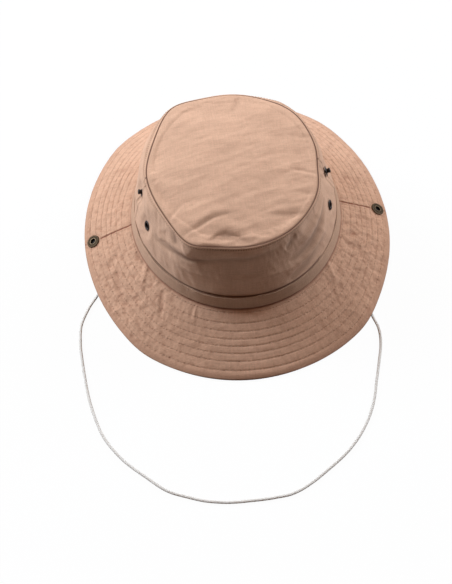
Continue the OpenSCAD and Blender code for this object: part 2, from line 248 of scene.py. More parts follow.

# points (degrees, distance out), height, width, lean, darkness of the painted shade in the crease
BRIM_CREASES = (
    ([(-156, -0.5), (-152, 9), (-148.5, 18)], 0.9, 2.6, 0.3, 0),
    ([(-165, 3), (-160, 3.2), (-156, 2.4)], -0.8, 2.2, 0.0, 0.25),
    ([(-165, 25), (-157, 33), (-150, 36), (-149, 28)], -0.8, 2.6, 0.2, 0.25),
    ([(-171, 16), (-168, 27), (-166, 38)], -0.6, 2.6, 0.0, 0.25),
    ([(-141, 5), (-137, 16), (-135, 27)], -0.55, 2.0, 0.2, 0.25),
    ([(-120.9, 5.0), (-119.8, 13.5)], 0.4, 1.1, -0.3, 0),
    ([(-122.4, 5.0), (-121.4, 13.5)], -0.3, 1.2, 0.0, 0.25),
    ([(-12.7, 3), (-12.0, 8)], -0.9, 2.2, 0.0, 0.25),
    ([(-16.5, 11), (-14.5, 16)], -0.9, 2.4, 0.0, 0.25),
    ([(-8, 8), (-6, 24), (-8, 38)], -0.6, 2.8, 0.2, 0.25),
    ([(-22, 6), (-21, 20), (-24, 34)], -0.55, 2.4, 0.0, 0.25),
    ([(-36, 0), (-38.5, 8), (-41, 16)], 0.75, 2.2, 0.2, 0),
    ([(-42, 2), (-44, 14), (-47, 26)], -0.5, 2.2, 0.0, 0.25),
    ([(12, 5), (15, 20), (13, 36)], -0.7, 2.8, 0.0, 0.25),
    ([(30, 6), (33, 22), (36, 40)], 0.7, 3.0, 0.0, 0),
    ([(60, 8), (64, 24), (61, 40)], -0.6, 3.0, 0.0, 0.25),
    ([(105, 6), (109, 20), (104, 38)], 0.6, 3.0, 0.0, 0),
    ([(150, 6), (146, 20), (149, 38)], -0.6, 3.0, 0.0, 0.25),
    ([(172, 10), (169, 24), (172, 38)], 0.6, 2.6, 0.0, 0),
)


def brim_relief():
    """Height of the brim cloth above its plain slope, and its darkening: painted shade in its
    creases, hollows, stitch dips and round the sockets, and dark seam lines.
    """
    angle, arcs, out = ANGLE_COL, ARC_COL, OUT[None]
    x, y = oval(angle, out)
    height = np.zeros(x.shape)
    tone = np.zeros(x.shape)
    front = zone(angle, -90, 30)
    left_part, right_part = zone(angle, -152, 30), zone(angle, -22, 30)

    def calm(left, right):
        """Quietens the regular texture on the two crumpled parts."""
        return 1 - left * left_part - right * right_part

    # channels between the rows: a soft swell, with puckers that run across
    edges = [-1.5] + STITCH_ROWS + [BRIM_WIDTH]
    for k, (inner, outer) in enumerate(zip(edges, edges[1:])):
        width = outer - inner
        t = np.clip((out - inner) / width, 0, 1)
        inside = (out >= inner) & (out < outer)
        puff = (4 * t * (1 - t)) ** 0.6
        swell = 0.15 + 0.07 * perlin(arcs / 17.0 + 3.1 * k, k * 5.7)
        height += inside * puff * swell * min(1.2, width / 6.0) * calm(0.6, 0.5)
        pitch = 4.3 + 0.5 * (k % 3)
        small = (perlin(arcs / pitch + 37.7 * k, out / 9.0 + 3.3 * k)
                 + 0.6 * perlin(arcs / 2.3 + 11.7 * k, out / 5.0))
        broad = perlin(arcs / 8.5 + 7.7 * k, out / 7.0 + 1.3 * k)
        pucker = (0.20 * small * (0.45 + 0.55 * (1 - puff)) * puff ** 0.4
                  + 0.16 * broad * puff ** 0.5)
        height += inside * (1 - 0.55 * front) * calm(0.75, 0.65) * pucker

    # the rows: a groove, a pit between stitches, and painted shade along each row, in flecks at
    # the pits
    pit = 0.5 + 0.5 * np.cos(2 * PI * (arcs + BRIM_PITCH / 2) / BRIM_PITCH)
    wide_back = zone(angle, 90, 85)
    for k, row in enumerate(STITCH_ROWS):
        depth = 0.17 + 0.07 * perlin(arcs / 6.0 + 5 * k, k * 3.3)
        height -= depth * (1 - 0.6 * wide_back) * calm(0.7, 0.65) * bump(out, row, 0.62)
        height -= 0.14 * pit * bump(out, row, 0.45) * calm(0.6, 0.5)
        shade_fleck = ease(-0.5, 0.7, perlin(arcs / 1.9 + 9 * k, k * 2.1))
        tone += ((0.12 + 0.42 * pit * shade_fleck) * bump(out, row, 0.5)
                 * (1 - 0.7 * wide_back) * calm(0.8, 0.72))

    # crumpling, strongest at the left front and the right side
    left = zone(angle, -152, 26) + 0.5 * zone(angle, -190, 22)
    right = zone(angle, -22, 26) + 0.55 * zone(angle, 20, 25)
    amount = 0.27 * left + 0.28 * right + 0.10 * zone(angle, 90, 60) + 0.11
    wrinkle = fbm(x / 9.0 + 3, y / 9.0, 3)
    ridged = 1 - 2.2 * np.abs(fbm(x / 13.0 + 9, y / 13.0 - 4))
    mask = ease(0, 3, out) * ease(53.2, 47, out)
    height += mask * amount * (0.75 * wrinkle + 0.5 * ridged)
    cell = fbm(x / 5.2 - 7, y / 5.2 + 2)
    tiny = perlin(x / 2.9 + 5, y / 2.9)
    height += mask * (0.08 + 0.15 * left + 0.14 * right) * (cell + 0.6 * tiny)
    # painted shade in the hollows of the crumples
    hollow_shade = np.clip(-(cell + 0.7 * tiny) * 1.1, 0, 1)
    tone += mask * (0.14 + 0.26 * left + 0.22 * right) * hollow_shade
    add_creases(height, tone, arcs, out, unroll(BRIM_CREASES))

    # a slow wave along the brim, none at the seam
    slow = perlin(np.cos(angle) * 2.1 + 5, np.sin(angle) * 2.1 + 1) * ease(8, 53, out)
    height += 0.9 * slow * (1 - 0.8 * front) * (1 - 0.6 * zone(angle, 90, 25))
    # lifted where the cord comes out from under it
    height += 1.5 * zone(angle, -42, 7) * ease(22, 50, out)
    height += 0.5 * zone(angle, -157, 6) * ease(30, 50, out)
    # cloth turned over the rim, and shade at the rim and at the crown seam
    height += 0.12 * bump(out, 49.6, 1.5) - 0.28 * ease(50.4, 53.0, out)
    tone += 0.30 * bump(out, 52.9, 0.5) + 0.75 * bump(out, 0.6, 1.2)

    # seam that joins the front and back halves
    for _, seam, forward in SIDE_SEAMS:
        ahead = wrap(angle - seam) * (SIDE_RADIUS + out * 0.84) * forward
        height += (0.16 * bump(ahead, 1.5, 0.8) - 0.60 * bump(ahead, 0.0, 0.6)
                   - 0.10 * bump(ahead, 3.0, 0.5))
        tone += 1.6 * bump(ahead, 0.0, 0.62) + 0.12 * bump(ahead, 3.0, 0.5)
    tone += 0.16 * ease(47.5, 49.5, out)

    # flat under each snap socket and pulled down in its hole, with painted shade in a ring round
    # the socket and in the hole
    for side in (0.0, PI):
        distance = np.hypot(wrap(angle - side) * (SIDE_RADIUS + SOCKET_OUT),
                            out * 44.5 / BRIM_WIDTH - SOCKET_OUT)
        height = (height * ease(6.0, 10.5, distance) - 0.05 * ease(9, 7, distance)
                  - 1.0 * ease(3.3, 2.7, distance))
        tone = (tone * ease(5.5, 8.5, distance) + 0.35 * bump(distance, 6.9, 0.6)
                + 1.0 * ease(3.6, 3.0, distance))
    return height, tone


def brim_point(out, lift):
    """Points on the brim for every column, lifted square to its slope."""
    offset = np.asarray(out) * EDGE_COL / BRIM_WIDTH
    x, y = oval(ANGLE_COL, offset)
    tilt = math.sin(BRIM_SLOPE) * lift
    z = SEAM_Z - offset * math.tan(BRIM_SLOPE) + math.cos(BRIM_SLOPE) * lift
    return np.stack(np.broadcast_arrays(
        x + np.cos(ANGLE_COL) * tilt, y + np.sin(ANGLE_COL) * tilt, z), -1)


# ---------------------------------------------------------------- meshes
def grid_normals(points, closed):
    """Smooth normals of a (n, m, 3) sheet closed in its second direction."""
    if closed:
        du = np.roll(points, -1, 0) - np.roll(points, 1, 0)
    else:
        du = np.gradient(points, axis=0)
    dv = np.roll(points, -1, 1) - np.roll(points, 1, 1)
    normals = np.cross(du, dv)
    return normals / np.maximum(np.linalg.norm(normals, axis=-1, keepdims=True), 1e-12)


def point_inwards(points, normals):
    return ((points - points.mean(1, keepdims=True)) * normals).sum() < 0


def outward_normals(points):
    normals = grid_normals(points, True)
    return -normals if point_inwards(points, normals) else normals


def add_uv(mesh, loop_uv):
    layer = mesh.uv_layers.new(name="UVMap")
    layer.data.foreach_set("uv", loop_uv.astype(np.float32).ravel())


def mesh_object(name, points, faces, tone=0.0, smooth=True, loop_uv=None):
    """An object in the scene from points in mm, with its darkening in the tone attribute, most of
    it painted shade.
    """
    points = np.asarray(points)
    mesh = bpy.data.meshes.new(name)
    mesh.from_pydata((points * MM).tolist(), [], faces)
    if smooth:
        mesh.polygons.foreach_set("use_smooth", [True] * len(mesh.polygons))
    if loop_uv is not None:
        add_uv(mesh, loop_uv)
    attribute = mesh.attributes.new("tone", "FLOAT", "POINT")
    attribute.data.foreach_set(
        "value", np.broadcast_to(tone, (len(points),)).astype(np.float32))
    ob = bpy.data.objects.new(name, mesh)
    bpy.context.scene.collection.objects.link(ob)
    return ob


def tube(name, points, uv, tone, closed, normals=None):
    """A shell from closed rings (n, m, 3), capped unless closed; uv (n+1, m+1, 2) has seams."""
    n, m = points.shape[:2]
    flip = point_inwards(points, grid_normals(points, closed))
    index = np.arange(n * m).reshape(n, m)
    first = index if closed else index[:-1]
    second = np.roll(index, -1, 0) if closed else index[1:]
    count = len(first)
    order = [0, 1, 2, 3] if flip else [0, 3, 2, 1]
    corners = [first, np.roll(first, -1, 1), np.roll(second, -1, 1), second]
    faces = np.stack(corners, -1)[..., order].reshape(-1, 4).tolist()
    corner_uv = [uv[:count, :m], uv[:count, 1:m + 1],
                 uv[1:count + 1, 1:m + 1], uv[1:count + 1, :m]]
    loop_uv = np.stack(corner_uv, 2)[:, :, order].reshape(-1, 2)
    if not closed:
        start_way, end_way = (-1, 1) if flip else (1, -1)
        faces += [index[0][::start_way].tolist(), index[-1][::end_way].tolist()]
        loop_uv = np.concatenate([loop_uv, uv[0, :m][::start_way], uv[n - 1, :m][::end_way]])
    ob = mesh_object(name, points.reshape(-1, 3), faces,
                     np.broadcast_to(tone, (n, m)).ravel(), loop_uv=loop_uv)
    if normals is not None:
        if point_inwards(points, normals):
            normals = -normals
        ob.data.normals_split_custom_set_from_vertices(normals.reshape(-1, 3).tolist())
    return ob


def ring_uv(across):
    """UV of a shell that goes round the hat: arc length, and distance across the cloth."""
    uv = np.zeros((COLUMNS + 1, len(across) + 1, 2))
    uv[..., 0] = np.append(ARCS, arc(PI))[:, None]
    uv[..., 1] = np.append(across, across[0])
    return uv


def part_of_ring(name, shell, first, last):
    """The columns first to last of a (points, uv, tone, normals) ring as a capped piece."""
    points, uv, tone, normals = shell
    columns = np.arange(first, last + 1)
    own = columns % COLUMNS
    return tube(name, points[own], uv[np.append(columns, last)], tone[own], False, normals[own])


def threads(name, centres, tangents, normals, length, radius):
    """Sewing stitches: short rounded lengths of thread, their ends sinking into the cloth."""
    centres, along, up = (np.asarray(a, float) for a in (centres, tangents, normals))
    along = along / np.linalg.norm(along, axis=1, keepdims=True)
    across = np.cross(up, along)
    across /= np.linalg.norm(across, axis=1, keepdims=True)
    up = np.cross(along, across)
    # position along, share of the radius, rise
    profile = [(-0.5, 0.35, -0.30), (-0.34, 0.9, -0.02), (0.0, 1.0, 0.06), (0.34, 0.9, -0.02),
               (0.5, 0.35, -0.30)]
    sides = 6
    rings = []
    for place, share, rise in profile:
        for k in range(sides):
            a = 2 * PI * k / sides
            rings.append(centres + along * (place * length)
                         + across * (math.cos(a) * share * radius)
                         + up * (rise * 0.9 + math.sin(a) * share * radius))
    points = np.stack(rings, 1)
    count, each = points.shape[:2]
    quads = []
    for start in range(0, (len(profile) - 1) * sides, sides):
        for k in range(sides):
            k2 = (k + 1) % sides
            quads.append([start + k, start + k2, start + sides + k2, start + sides + k])
    offsets = np.arange(count) * each
    faces = (np.array(quads)[None] + offsets[:, None, None]).reshape(-1, 4).tolist()
    start_cap, end_cap = np.arange(sides)[::-1], np.arange(sides) + each - sides
    for offset in offsets:
        faces.append((start_cap + offset).tolist())
        faces.append((end_cap + offset).tolist())
    return mesh_object(name, points.reshape(-1, 3), faces)


def stitches_on_ring(ring, normals, pitch):
    """Centres, tangents and normals of stitches evenly spaced on a closed ring of cloth."""
    run = run_length(np.concatenate([ring, ring[:1]]))
    count = int(run[-1] / pitch)
    column = np.interp((np.arange(count) + 0.5) * run[-1] / count, run, np.arange(COLUMNS + 1))
    low = np.floor(column).astype(int) % COLUMNS
    high = (low + 1) % COLUMNS
    t = (column - np.floor(column))[:, None]
    return (ring[low] * (1 - t) + ring[high] * t, ring[high] - ring[low],
            normals[low] * (1 - t) + normals[high] * t)


def sweep(name, path, section, sides, hint=(0, 0, 1), tone=0.0):
    """A cord along a path; section(i, angles) gives its (across, up) outline at point i."""
    path = np.asarray(path, float)
    ahead = np.gradient(path, axis=0)
    ahead /= np.linalg.norm(ahead, axis=1, keepdims=True)
    up = np.zeros_like(path)
    previous = np.array(hint, float)
    previous = previous - (previous @ ahead[0]) * ahead[0]
    previous /= np.linalg.norm(previous)
    for i in range(len(path)):
        turned = previous - (previous @ ahead[i]) * ahead[i]
        previous = turned / np.linalg.norm(turned)
        up[i] = previous
    across = np.cross(ahead, up)
    angles = np.arange(sides) * 2 * PI / sides
    outline = np.stack([section(i, angles) for i in range(len(path))])
    points = (path[:, None] + across[:, None] * outline[..., 0:1]
              + up[:, None] * outline[..., 1:2])
    run = run_length(path)
    uv = np.zeros((len(path) + 1, sides + 1, 2))
    uv[..., 0] = np.append(run, run[-1] + 1)[:, None]
    uv[..., 1] = np.arange(sides + 1) / sides * 9.0
    return tube(name, points, uv, tone, False)


# ---------------------------------------------------------------- materials
class Graph:
    """Short calls for adding and joining the nodes of one node tree."""

    def __init__(self, tree):
        self.tree = tree

    def fill(self, node, inputs):
        """Sets or links inputs, keyed by name or index; colours are given as RGB."""
        for key, value in inputs.items():
            socket = node.inputs[key]
            if isinstance(value, bpy.types.NodeSocket):
                self.tree.links.new(value, socket)
            else:
                socket.default_value = (*value, 1.0) if socket.type == "RGBA" else value

    def add(self, kind, inputs={}, **settings):
        node = self.tree.nodes.new(kind)
        for key, value in settings.items():
            setattr(node, key, value)
        self.fill(node, inputs)
        return node

    def math(self, operation, a, b):
        return self.add("ShaderNodeMath", {0: a, 1: b}, operation=operation).outputs[0]

    def plus(self, a, b):
        return self.math("ADD", a, b)

    def minus(self, a, b):
        return self.math("SUBTRACT", a, b)

    def times(self, a, b):
        return self.math("MULTIPLY", a, b)

    def larger(self, a, b):
        return self.math("MAXIMUM", a, b)

    def smaller(self, a, b):
        return self.math("MINIMUM", a, b)

    def mix(self, factor, a, b):
        return self.add("ShaderNodeMix", {0: factor, 6: a, 7: b}, data_type="RGBA").outputs[2]

    def bump(self, strength, distance, height):
        return self.add("ShaderNodeBump", {"Strength": strength, "Distance": distance,
                                           "Height": height}).outputs[0]


def new_material(name):
    material = bpy.data.materials.new(name)
    material.use_nodes = True
    tree = material.node_tree
    return material, Graph(tree), tree.nodes["Principled BSDF"]


WAVE_UNIT = 3.1831              # wave scale that gives bands one unit apart, inverted


def cloth(name, base, dark, weave, slub, bump=0.35, object_space=False):
    """Woven cotton: crossing yarns of uneven thickness, soft blotches, and painted shade in
    creases from tone.
    """
    material, graph, bsdf = new_material(name)
    coordinates = graph.add("ShaderNodeTexCoord")
    if object_space:
        in_mm = {0: coordinates.outputs["Object"], "Scale": 1000.0}
        vector = graph.add("ShaderNodeVectorMath", in_mm, operation="SCALE").outputs[0]
    else:
        vector = coordinates.outputs["UV"]

    def noise(scale_x, scale_y, roughness=0.7):
        mapping = graph.add("ShaderNodeMapping", {
            "Scale": (scale_x, scale_y, scale_y if object_space else 1.0), "Vector": vector})
        return graph.add("ShaderNodeTexNoise", {
            "Scale": 1.0, "Detail": 3.0, "Roughness": roughness,
            "Vector": mapping.outputs[0]}).outputs["Fac"]

    def wave(direction, period, distortion=0.4):
        return graph.add("ShaderNodeTexWave", {
            "Scale": 1.0 / (period * WAVE_UNIT), "Distortion": distortion, "Detail": 1.0,
            "Detail Scale": 0.4, "Vector": vector}, bands_direction=direction).outputs["Fac"]

    warp = wave("X", weave)
    weft = wave("Y", weave)
    diagonal = wave("DIAGONAL", weave * 1.9, distortion=0.2)
    yarn = graph.larger(warp, weft)
    slub_x = noise(0.06, 0.95)
    slub_y = noise(0.95, 0.06)
    blotch = noise(0.035, 0.035, roughness=0.55)
    grain = noise(0.8, 0.8)
    tone = graph.add("ShaderNodeAttribute", attribute_name="tone").outputs["Fac"]

    # lightness: texture, its middle value, its weight
    shades = ((slub_x, 0.5, 0.62 * slub), (slub_y, 0.5, 0.52 * slub), (grain, 0.5, 0.55),
              (blotch, 0.5, 0.35), (yarn, 0.7, 0.10))
    shade = reduce(graph.plus, [graph.times(graph.minus(texture, middle), weight)
                                for texture, middle, weight in shades])
    colour = graph.mix(graph.plus(0.5, shade), tuple(c * 0.66 for c in base),
                       tuple(min(1.0, c * 1.34) for c in base))
    # the tone attribute mixes the colour towards the dark colour: painted shade in creases,
    # stitch dips and gaps, and dark seam lines
    crease = graph.smaller(graph.larger(tone, 0.0), 1.0)
    height = reduce(graph.plus, [
        graph.times(yarn, 0.5), graph.times(diagonal, 0.25),
        graph.times(graph.plus(slub_x, slub_y), 0.8), graph.times(grain, 0.9)])
    graph.fill(bsdf, {
        "Base Color": graph.mix(crease, colour, dark), "Roughness": 0.92,
        "Sheen Weight": 0.10, "Sheen Roughness": 0.5, "Sheen Tint": (1.0, 0.93, 0.86),
        "Specular IOR Level": 0.15, "Normal": graph.bump(bump, 0.00034, height)})
    return material


def metal(name, base, worn, rough, metallic, wear=0.35):
    """Dark metal, lighter on its raised edges and in patches."""
    material, graph, bsdf = new_material(name)
    place = graph.add("ShaderNodeTexCoord").outputs["Object"]
    fine = graph.add("ShaderNodeTexNoise",
                     {"Scale": 900.0, "Detail": 4.0, "Vector": place}).outputs["Fac"]
    patches = graph.add("ShaderNodeTexNoise", {"Scale": 240.0, "Vector": place}).outputs["Fac"]
    pointiness = graph.add("ShaderNodeNewGeometry").outputs["Pointiness"]
    edges = graph.times(graph.minus(pointiness, 0.5), 5.0)
    factor = graph.plus(graph.times(patches, wear), graph.larger(edges, 0.0))
    factor = graph.plus(factor, graph.times(graph.minus(fine, 0.5), 0.5))
    graph.fill(bsdf, {
        "Base Color": graph.mix(graph.smaller(factor, 1.0), base, worn), "Metallic": metallic,
        "Roughness": graph.plus(rough - 0.1, graph.times(fine, 0.25)),
        "Normal": graph.bump(0.25, 0.0001, fine)})
    return material


# the dark colour of each cloth is the painted shade that its tone attribute mixes in
TAN = (0.655, 0.405, 0.270)
PAINTED_SHADE_TAN = (0.155, 0.078, 0.048)
CROWN = cloth("crown_cloth", base=TAN, dark=PAINTED_SHADE_TAN, weave=0.58, slub=0.78)
BRIM = cloth("brim_cloth", base=(0.655, 0.393, 0.258), dark=(0.27, 0.105, 0.06),
             weave=0.62, slub=0.9)
BAND = cloth("band_cloth", base=(0.58, 0.362, 0.238), dark=PAINTED_SHADE_TAN, weave=0.55, slub=0.8)
LINING = cloth("brim_lining_cloth", base=(0.56, 0.38, 0.275), dark=(0.16, 0.08, 0.05),
               weave=0.62, slub=0.9)
SWEATBAND = cloth("sweatband_cotton", base=(0.52, 0.38, 0.285), dark=(0.16, 0.09, 0.06),
                  weave=0.5, slub=0.6, bump=0.3)
TAPE = cloth("seam_tape", base=(0.42, 0.28, 0.20), dark=(0.14, 0.08, 0.05),
             weave=0.45, slub=0.4, object_space=True)
STIFFENER = cloth("stiffener_felt", base=(0.80, 0.77, 0.70), dark=(0.45, 0.42, 0.38),
                  weave=0.9, slub=0.3, bump=0.5)
THREAD = cloth("sewing_thread", base=(0.60, 0.40, 0.275), dark=(0.2, 0.1, 0.06),
               weave=0.35, slub=0.2, bump=0.5, object_space=True)
CORD = cloth("cord_cotton", base=(0.95, 0.86, 0.72), dark=(0.76, 0.64, 0.50),
             weave=0.6, slub=0.4, bump=0.6)
BRASS = metal("antique_brass", base=(0.020, 0.013, 0.008), worn=(0.135, 0.090, 0.052),
              rough=0.46, metallic=1.0)
# a near-black matte stand-in for the inside of the socket holes: painted shade
HOLE_SHADE = metal("socket_hole_painted_shade", base=(0.006, 0.004, 0.003), worn=(0.014, 0.009, 0.006),
            rough=0.85, metallic=0.0, wear=0.2)
BLACK = metal("black_lacquer", base=(0.010, 0.006, 0.004), worn=(0.032, 0.018, 0.012),
              rough=0.50, metallic=0.25, wear=0.25)


def put(ob, material, slot, *replaced, body="hat"):
    """Gives an object its material and its place in the product."""
    ob.data.materials.clear()
    ob.data.materials.append(material)
    if replaced:
        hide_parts(*replaced)
    if body:
        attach(ob, body)


def follow_flap(ob):
    """Bakes a brim piece's placement into its mesh."""
    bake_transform(ob)


# ---------------------------------------------------------------- brim: three plies
TOP_HEIGHT, TOP_TONE = brim_relief()
kernel = np.hanning(9) / np.hanning(9).sum()
padded = np.concatenate([TOP_HEIGHT[-8:], TOP_HEIGHT, TOP_HEIGHT[:8]])
SOFT = np.stack([np.convolve(column, kernel, "same")[8:-8] for column in padded.T], 1)


def brim_shell(*strips):
    """One ply from strips of (distance out, height, tone, distance out for the UV)."""
    points = np.concatenate([brim_point(out, height) for out, height, _, _ in strips], 1)
    points[..., 2] = np.maximum(points[..., 2], 0.05)       # clear of the floor
    tone = np.concatenate(
        [np.broadcast_to(tone, (COLUMNS, len(uv_out))) for _, _, tone, uv_out in strips], 1)
    uv = ring_uv(np.concatenate([uv_out for *_, uv_out in strips]))
    return points, uv, tone, outward_normals(points)


def upper_ply():
    below = np.concatenate([[52.9, 52.0], np.linspace(50.5, 0.5, 26), [-0.3]])
    # painted shade on the rim strip and on the underside
    return brim_shell(
        (OUT, TOP_HEIGHT, TOP_TONE, OUT),
        ([53.15, 53.22], TOP_HEIGHT[:, -1:] - np.array([0.22, 0.62]), 0.35, [53.15, 53.2]),
        (below, resample(SOFT, OUT, below) * 0.8 - PLY, 0.3, below))


def core_ply():
    across = np.linspace(0.0, 52.2, 28)
    soft = resample(SOFT, OUT, across)
    top = -PLY - 0.07
    back = across[::-1]
    return brim_shell((across, soft * 0.7 + top, 0.0, across),
                      (back, soft[:, ::-1] * 0.45 + top - 0.50, 0.0, back))


def under_ply():
    across = np.linspace(0.0, 52.5, 27)
    top = resample(SOFT, OUT, across) * 0.4 - 1.30
    back = OUT[::-1]
    # the stitch rows sag, with painted shade along them
    sag = sum(0.30 * bump(back, row, 0.7) for row in STITCH_ROWS)
    tone = sum(0.5 * bump(back, row, 0.5) for row in STITCH_ROWS)
    pucker = 0.18 * perlin(ARC_COL / 4.1 + 3, back / 6.0)
    # its edge shows as a thin line past the front of the upper ply, painted dark there as shade
    # under the rim
    rim = np.array([52.9, 52.95])
    return brim_shell(
        (across, top, 0.3, across),
        (rim + 0.65 * zone(ANGLE_COL, -97, 24), top[:, -1:] - np.array([0.12, 0.45]),
         0.3 + zone(ANGLE_COL, -97, 28), rim),
        (back, -1.30 - 0.62 + 0.35 * SOFT[:, ::-1] + sag + pucker, tone, back))


# front or back, side, sign of x, sign of y; in order round the hat from -x
QUARTERS = (("front", "left", -1, -1), ("front", "right", 1, -1),
            ("back", "right", 1, 1), ("back", "left", -1, 1))
UPPER, UNDER = upper_ply(), under_ply()
for shell, material, slot, ply in (
        (UPPER, BRIM, "hat_cloth", "upper"),
        (core_ply(), STIFFENER, "interlining", "interlining"),
        (UNDER, LINING, "hat_cloth", "under")):
    for k, (end, side, sign, _) in enumerate(QUARTERS):
        ob = part_of_ring(f"brim_{end}_{side}_{ply}_cloth", shell,
                          k * COLUMNS // 4, (k + 1) * COLUMNS // 4)
        put(ob, material, slot, f"brim_{end}_{ply}", f"{side}_flap_{ply}", body=None)
        follow_flap(ob)

for face, shell in (("top", UPPER), ("under", UNDER)):
    points, _, _, normals = shell
    rows = []
    for row in STITCH_ROWS:
        j = int(np.argmin(np.abs(OUT - row)))
        if face == "under":                     # its stations run backwards from the end
            j = -1 - j
        rows.append(stitches_on_ring(points[:, j], normals[:, j], BRIM_PITCH))
    centres, tangents, normals = (np.concatenate(group) for group in zip(*rows))
    centres = centres + normals * 0.16
    for end, side, sign_x, sign_y in QUARTERS:
        here = (centres[:, 0] * sign_x > 0) & (centres[:, 1] * sign_y > 0)
        ob = threads(f"brim_{end}_{side}_{face}_stitching", centres[here], tangents[here],
                     normals[here], length=1.95, radius=0.21)
        put(ob, THREAD, "hat_cloth", body=None)
        follow_flap(ob)


# ---------------------------------------------------------------- crown wall
UP = np.unique(np.round(np.concatenate(
    [[0.0, 0.4], np.linspace(1, 62, 68), [62.6, 63.1, 63.6, 64.0, 64.3, WALL_LENGTH]]), 4))

# lower edge of the rib along the front: degrees, distance up
RIB_DEGREES = [-180, -153, -147, -139, -131, -124, -108, -100, -82, -70, -60]
RIB_UP = [36, 36, 39.5, 43, 46, 48.5, 52.5, 53.8, 54.5, 55.5, 57]

# points (degrees, distance up), height, width, lean, darkness of the painted shade in the crease
WALL_CREASES = (
    # diagonal fold that runs into the rib from the left
    ([(-158, 34), (-150, 37), (-143, 41), (-136, 43.8), (-127, 46.3), (-116, 50)],
     -1.45, 3.8, 0.2, 0.30),
    ([(-154, 39), (-146, 44), (-137, 48.5), (-126, 52.5)], 1.0, 4.0, 0.0, 0.0),
    # pinch at the left front corner of the top seam
    ([(-142.5, 63), (-141, 57), (-139.5, 50)], -1.15, 3.6, 0.0, 0.55),
    ([(-136, 62), (-133, 56), (-128, 52)], 0.9, 3.2, 0.0, 0.0),
    ([(-147, 62), (-149, 54), (-154, 46)], 0.5, 3.0, 0.0, 0.0),
    # right front: drag lines falling towards the front
    ([(-14, 59), (-24, 54), (-37, 50), (-50, 45)], 2.1, 4.2, 0.2, 0.0),
    ([(-18, 50), (-29, 42), (-42, 37), (-60, 35)], -2.0, 4.0, 0.0, 0.26),
    ([(-22, 42), (-34, 33), (-48, 28), (-66, 24)], 1.9, 4.2, 0.0, 0.0),
    ([(-34, 28), (-48, 21), (-64, 17)], -1.5, 3.8, 0.0, 0.24),
    ([(-42, 59), (-54, 55), (-70, 51)], 1.0, 3.4, 0.0, 0.0),
    ([(-52, 58), (-57, 54), (-63, 49)], -1.3, 3.6, 0.0, 0.34),
    ([(-12, 62), (-8, 55), (-5, 48)], -0.8, 1.8, 0.0, 0.35),
    ([(-33, 63), (-34, 57)], -0.5, 1.6, 0.0, 0.3),
    # left side and back
    ([(178, 20), (-176, 34), (-168, 48), (-163, 60)], 0.7, 3.2, 0.0, 0.0),
    ([(-172, 8), (-166, 20), (-158, 30)], -0.5, 2.6, 0.0, 0.15),
    ([(160, 10), (152, 30), (150, 50)], 0.8, 4.0, 0.0, 0.0),
    ([(120, 14), (112, 34), (116, 54)], -0.8, 4.0, 0.0, 0.15),
    ([(70, 10), (78, 32), (72, 52)], 0.8, 4.0, 0.0, 0.0),
    ([(38, 12), (30, 30), (34, 52)], -0.7, 3.6, 0.0, 0.15),
)


def from_hardware(angle, up, degrees, centre_up):
    """Distance on the wall from a stud or eyelet."""
    radius = SIDE_RADIUS + WALL_OUT * centre_up
    return np.hypot(wrap(angle - math.radians(degrees)) * radius, up - centre_up)


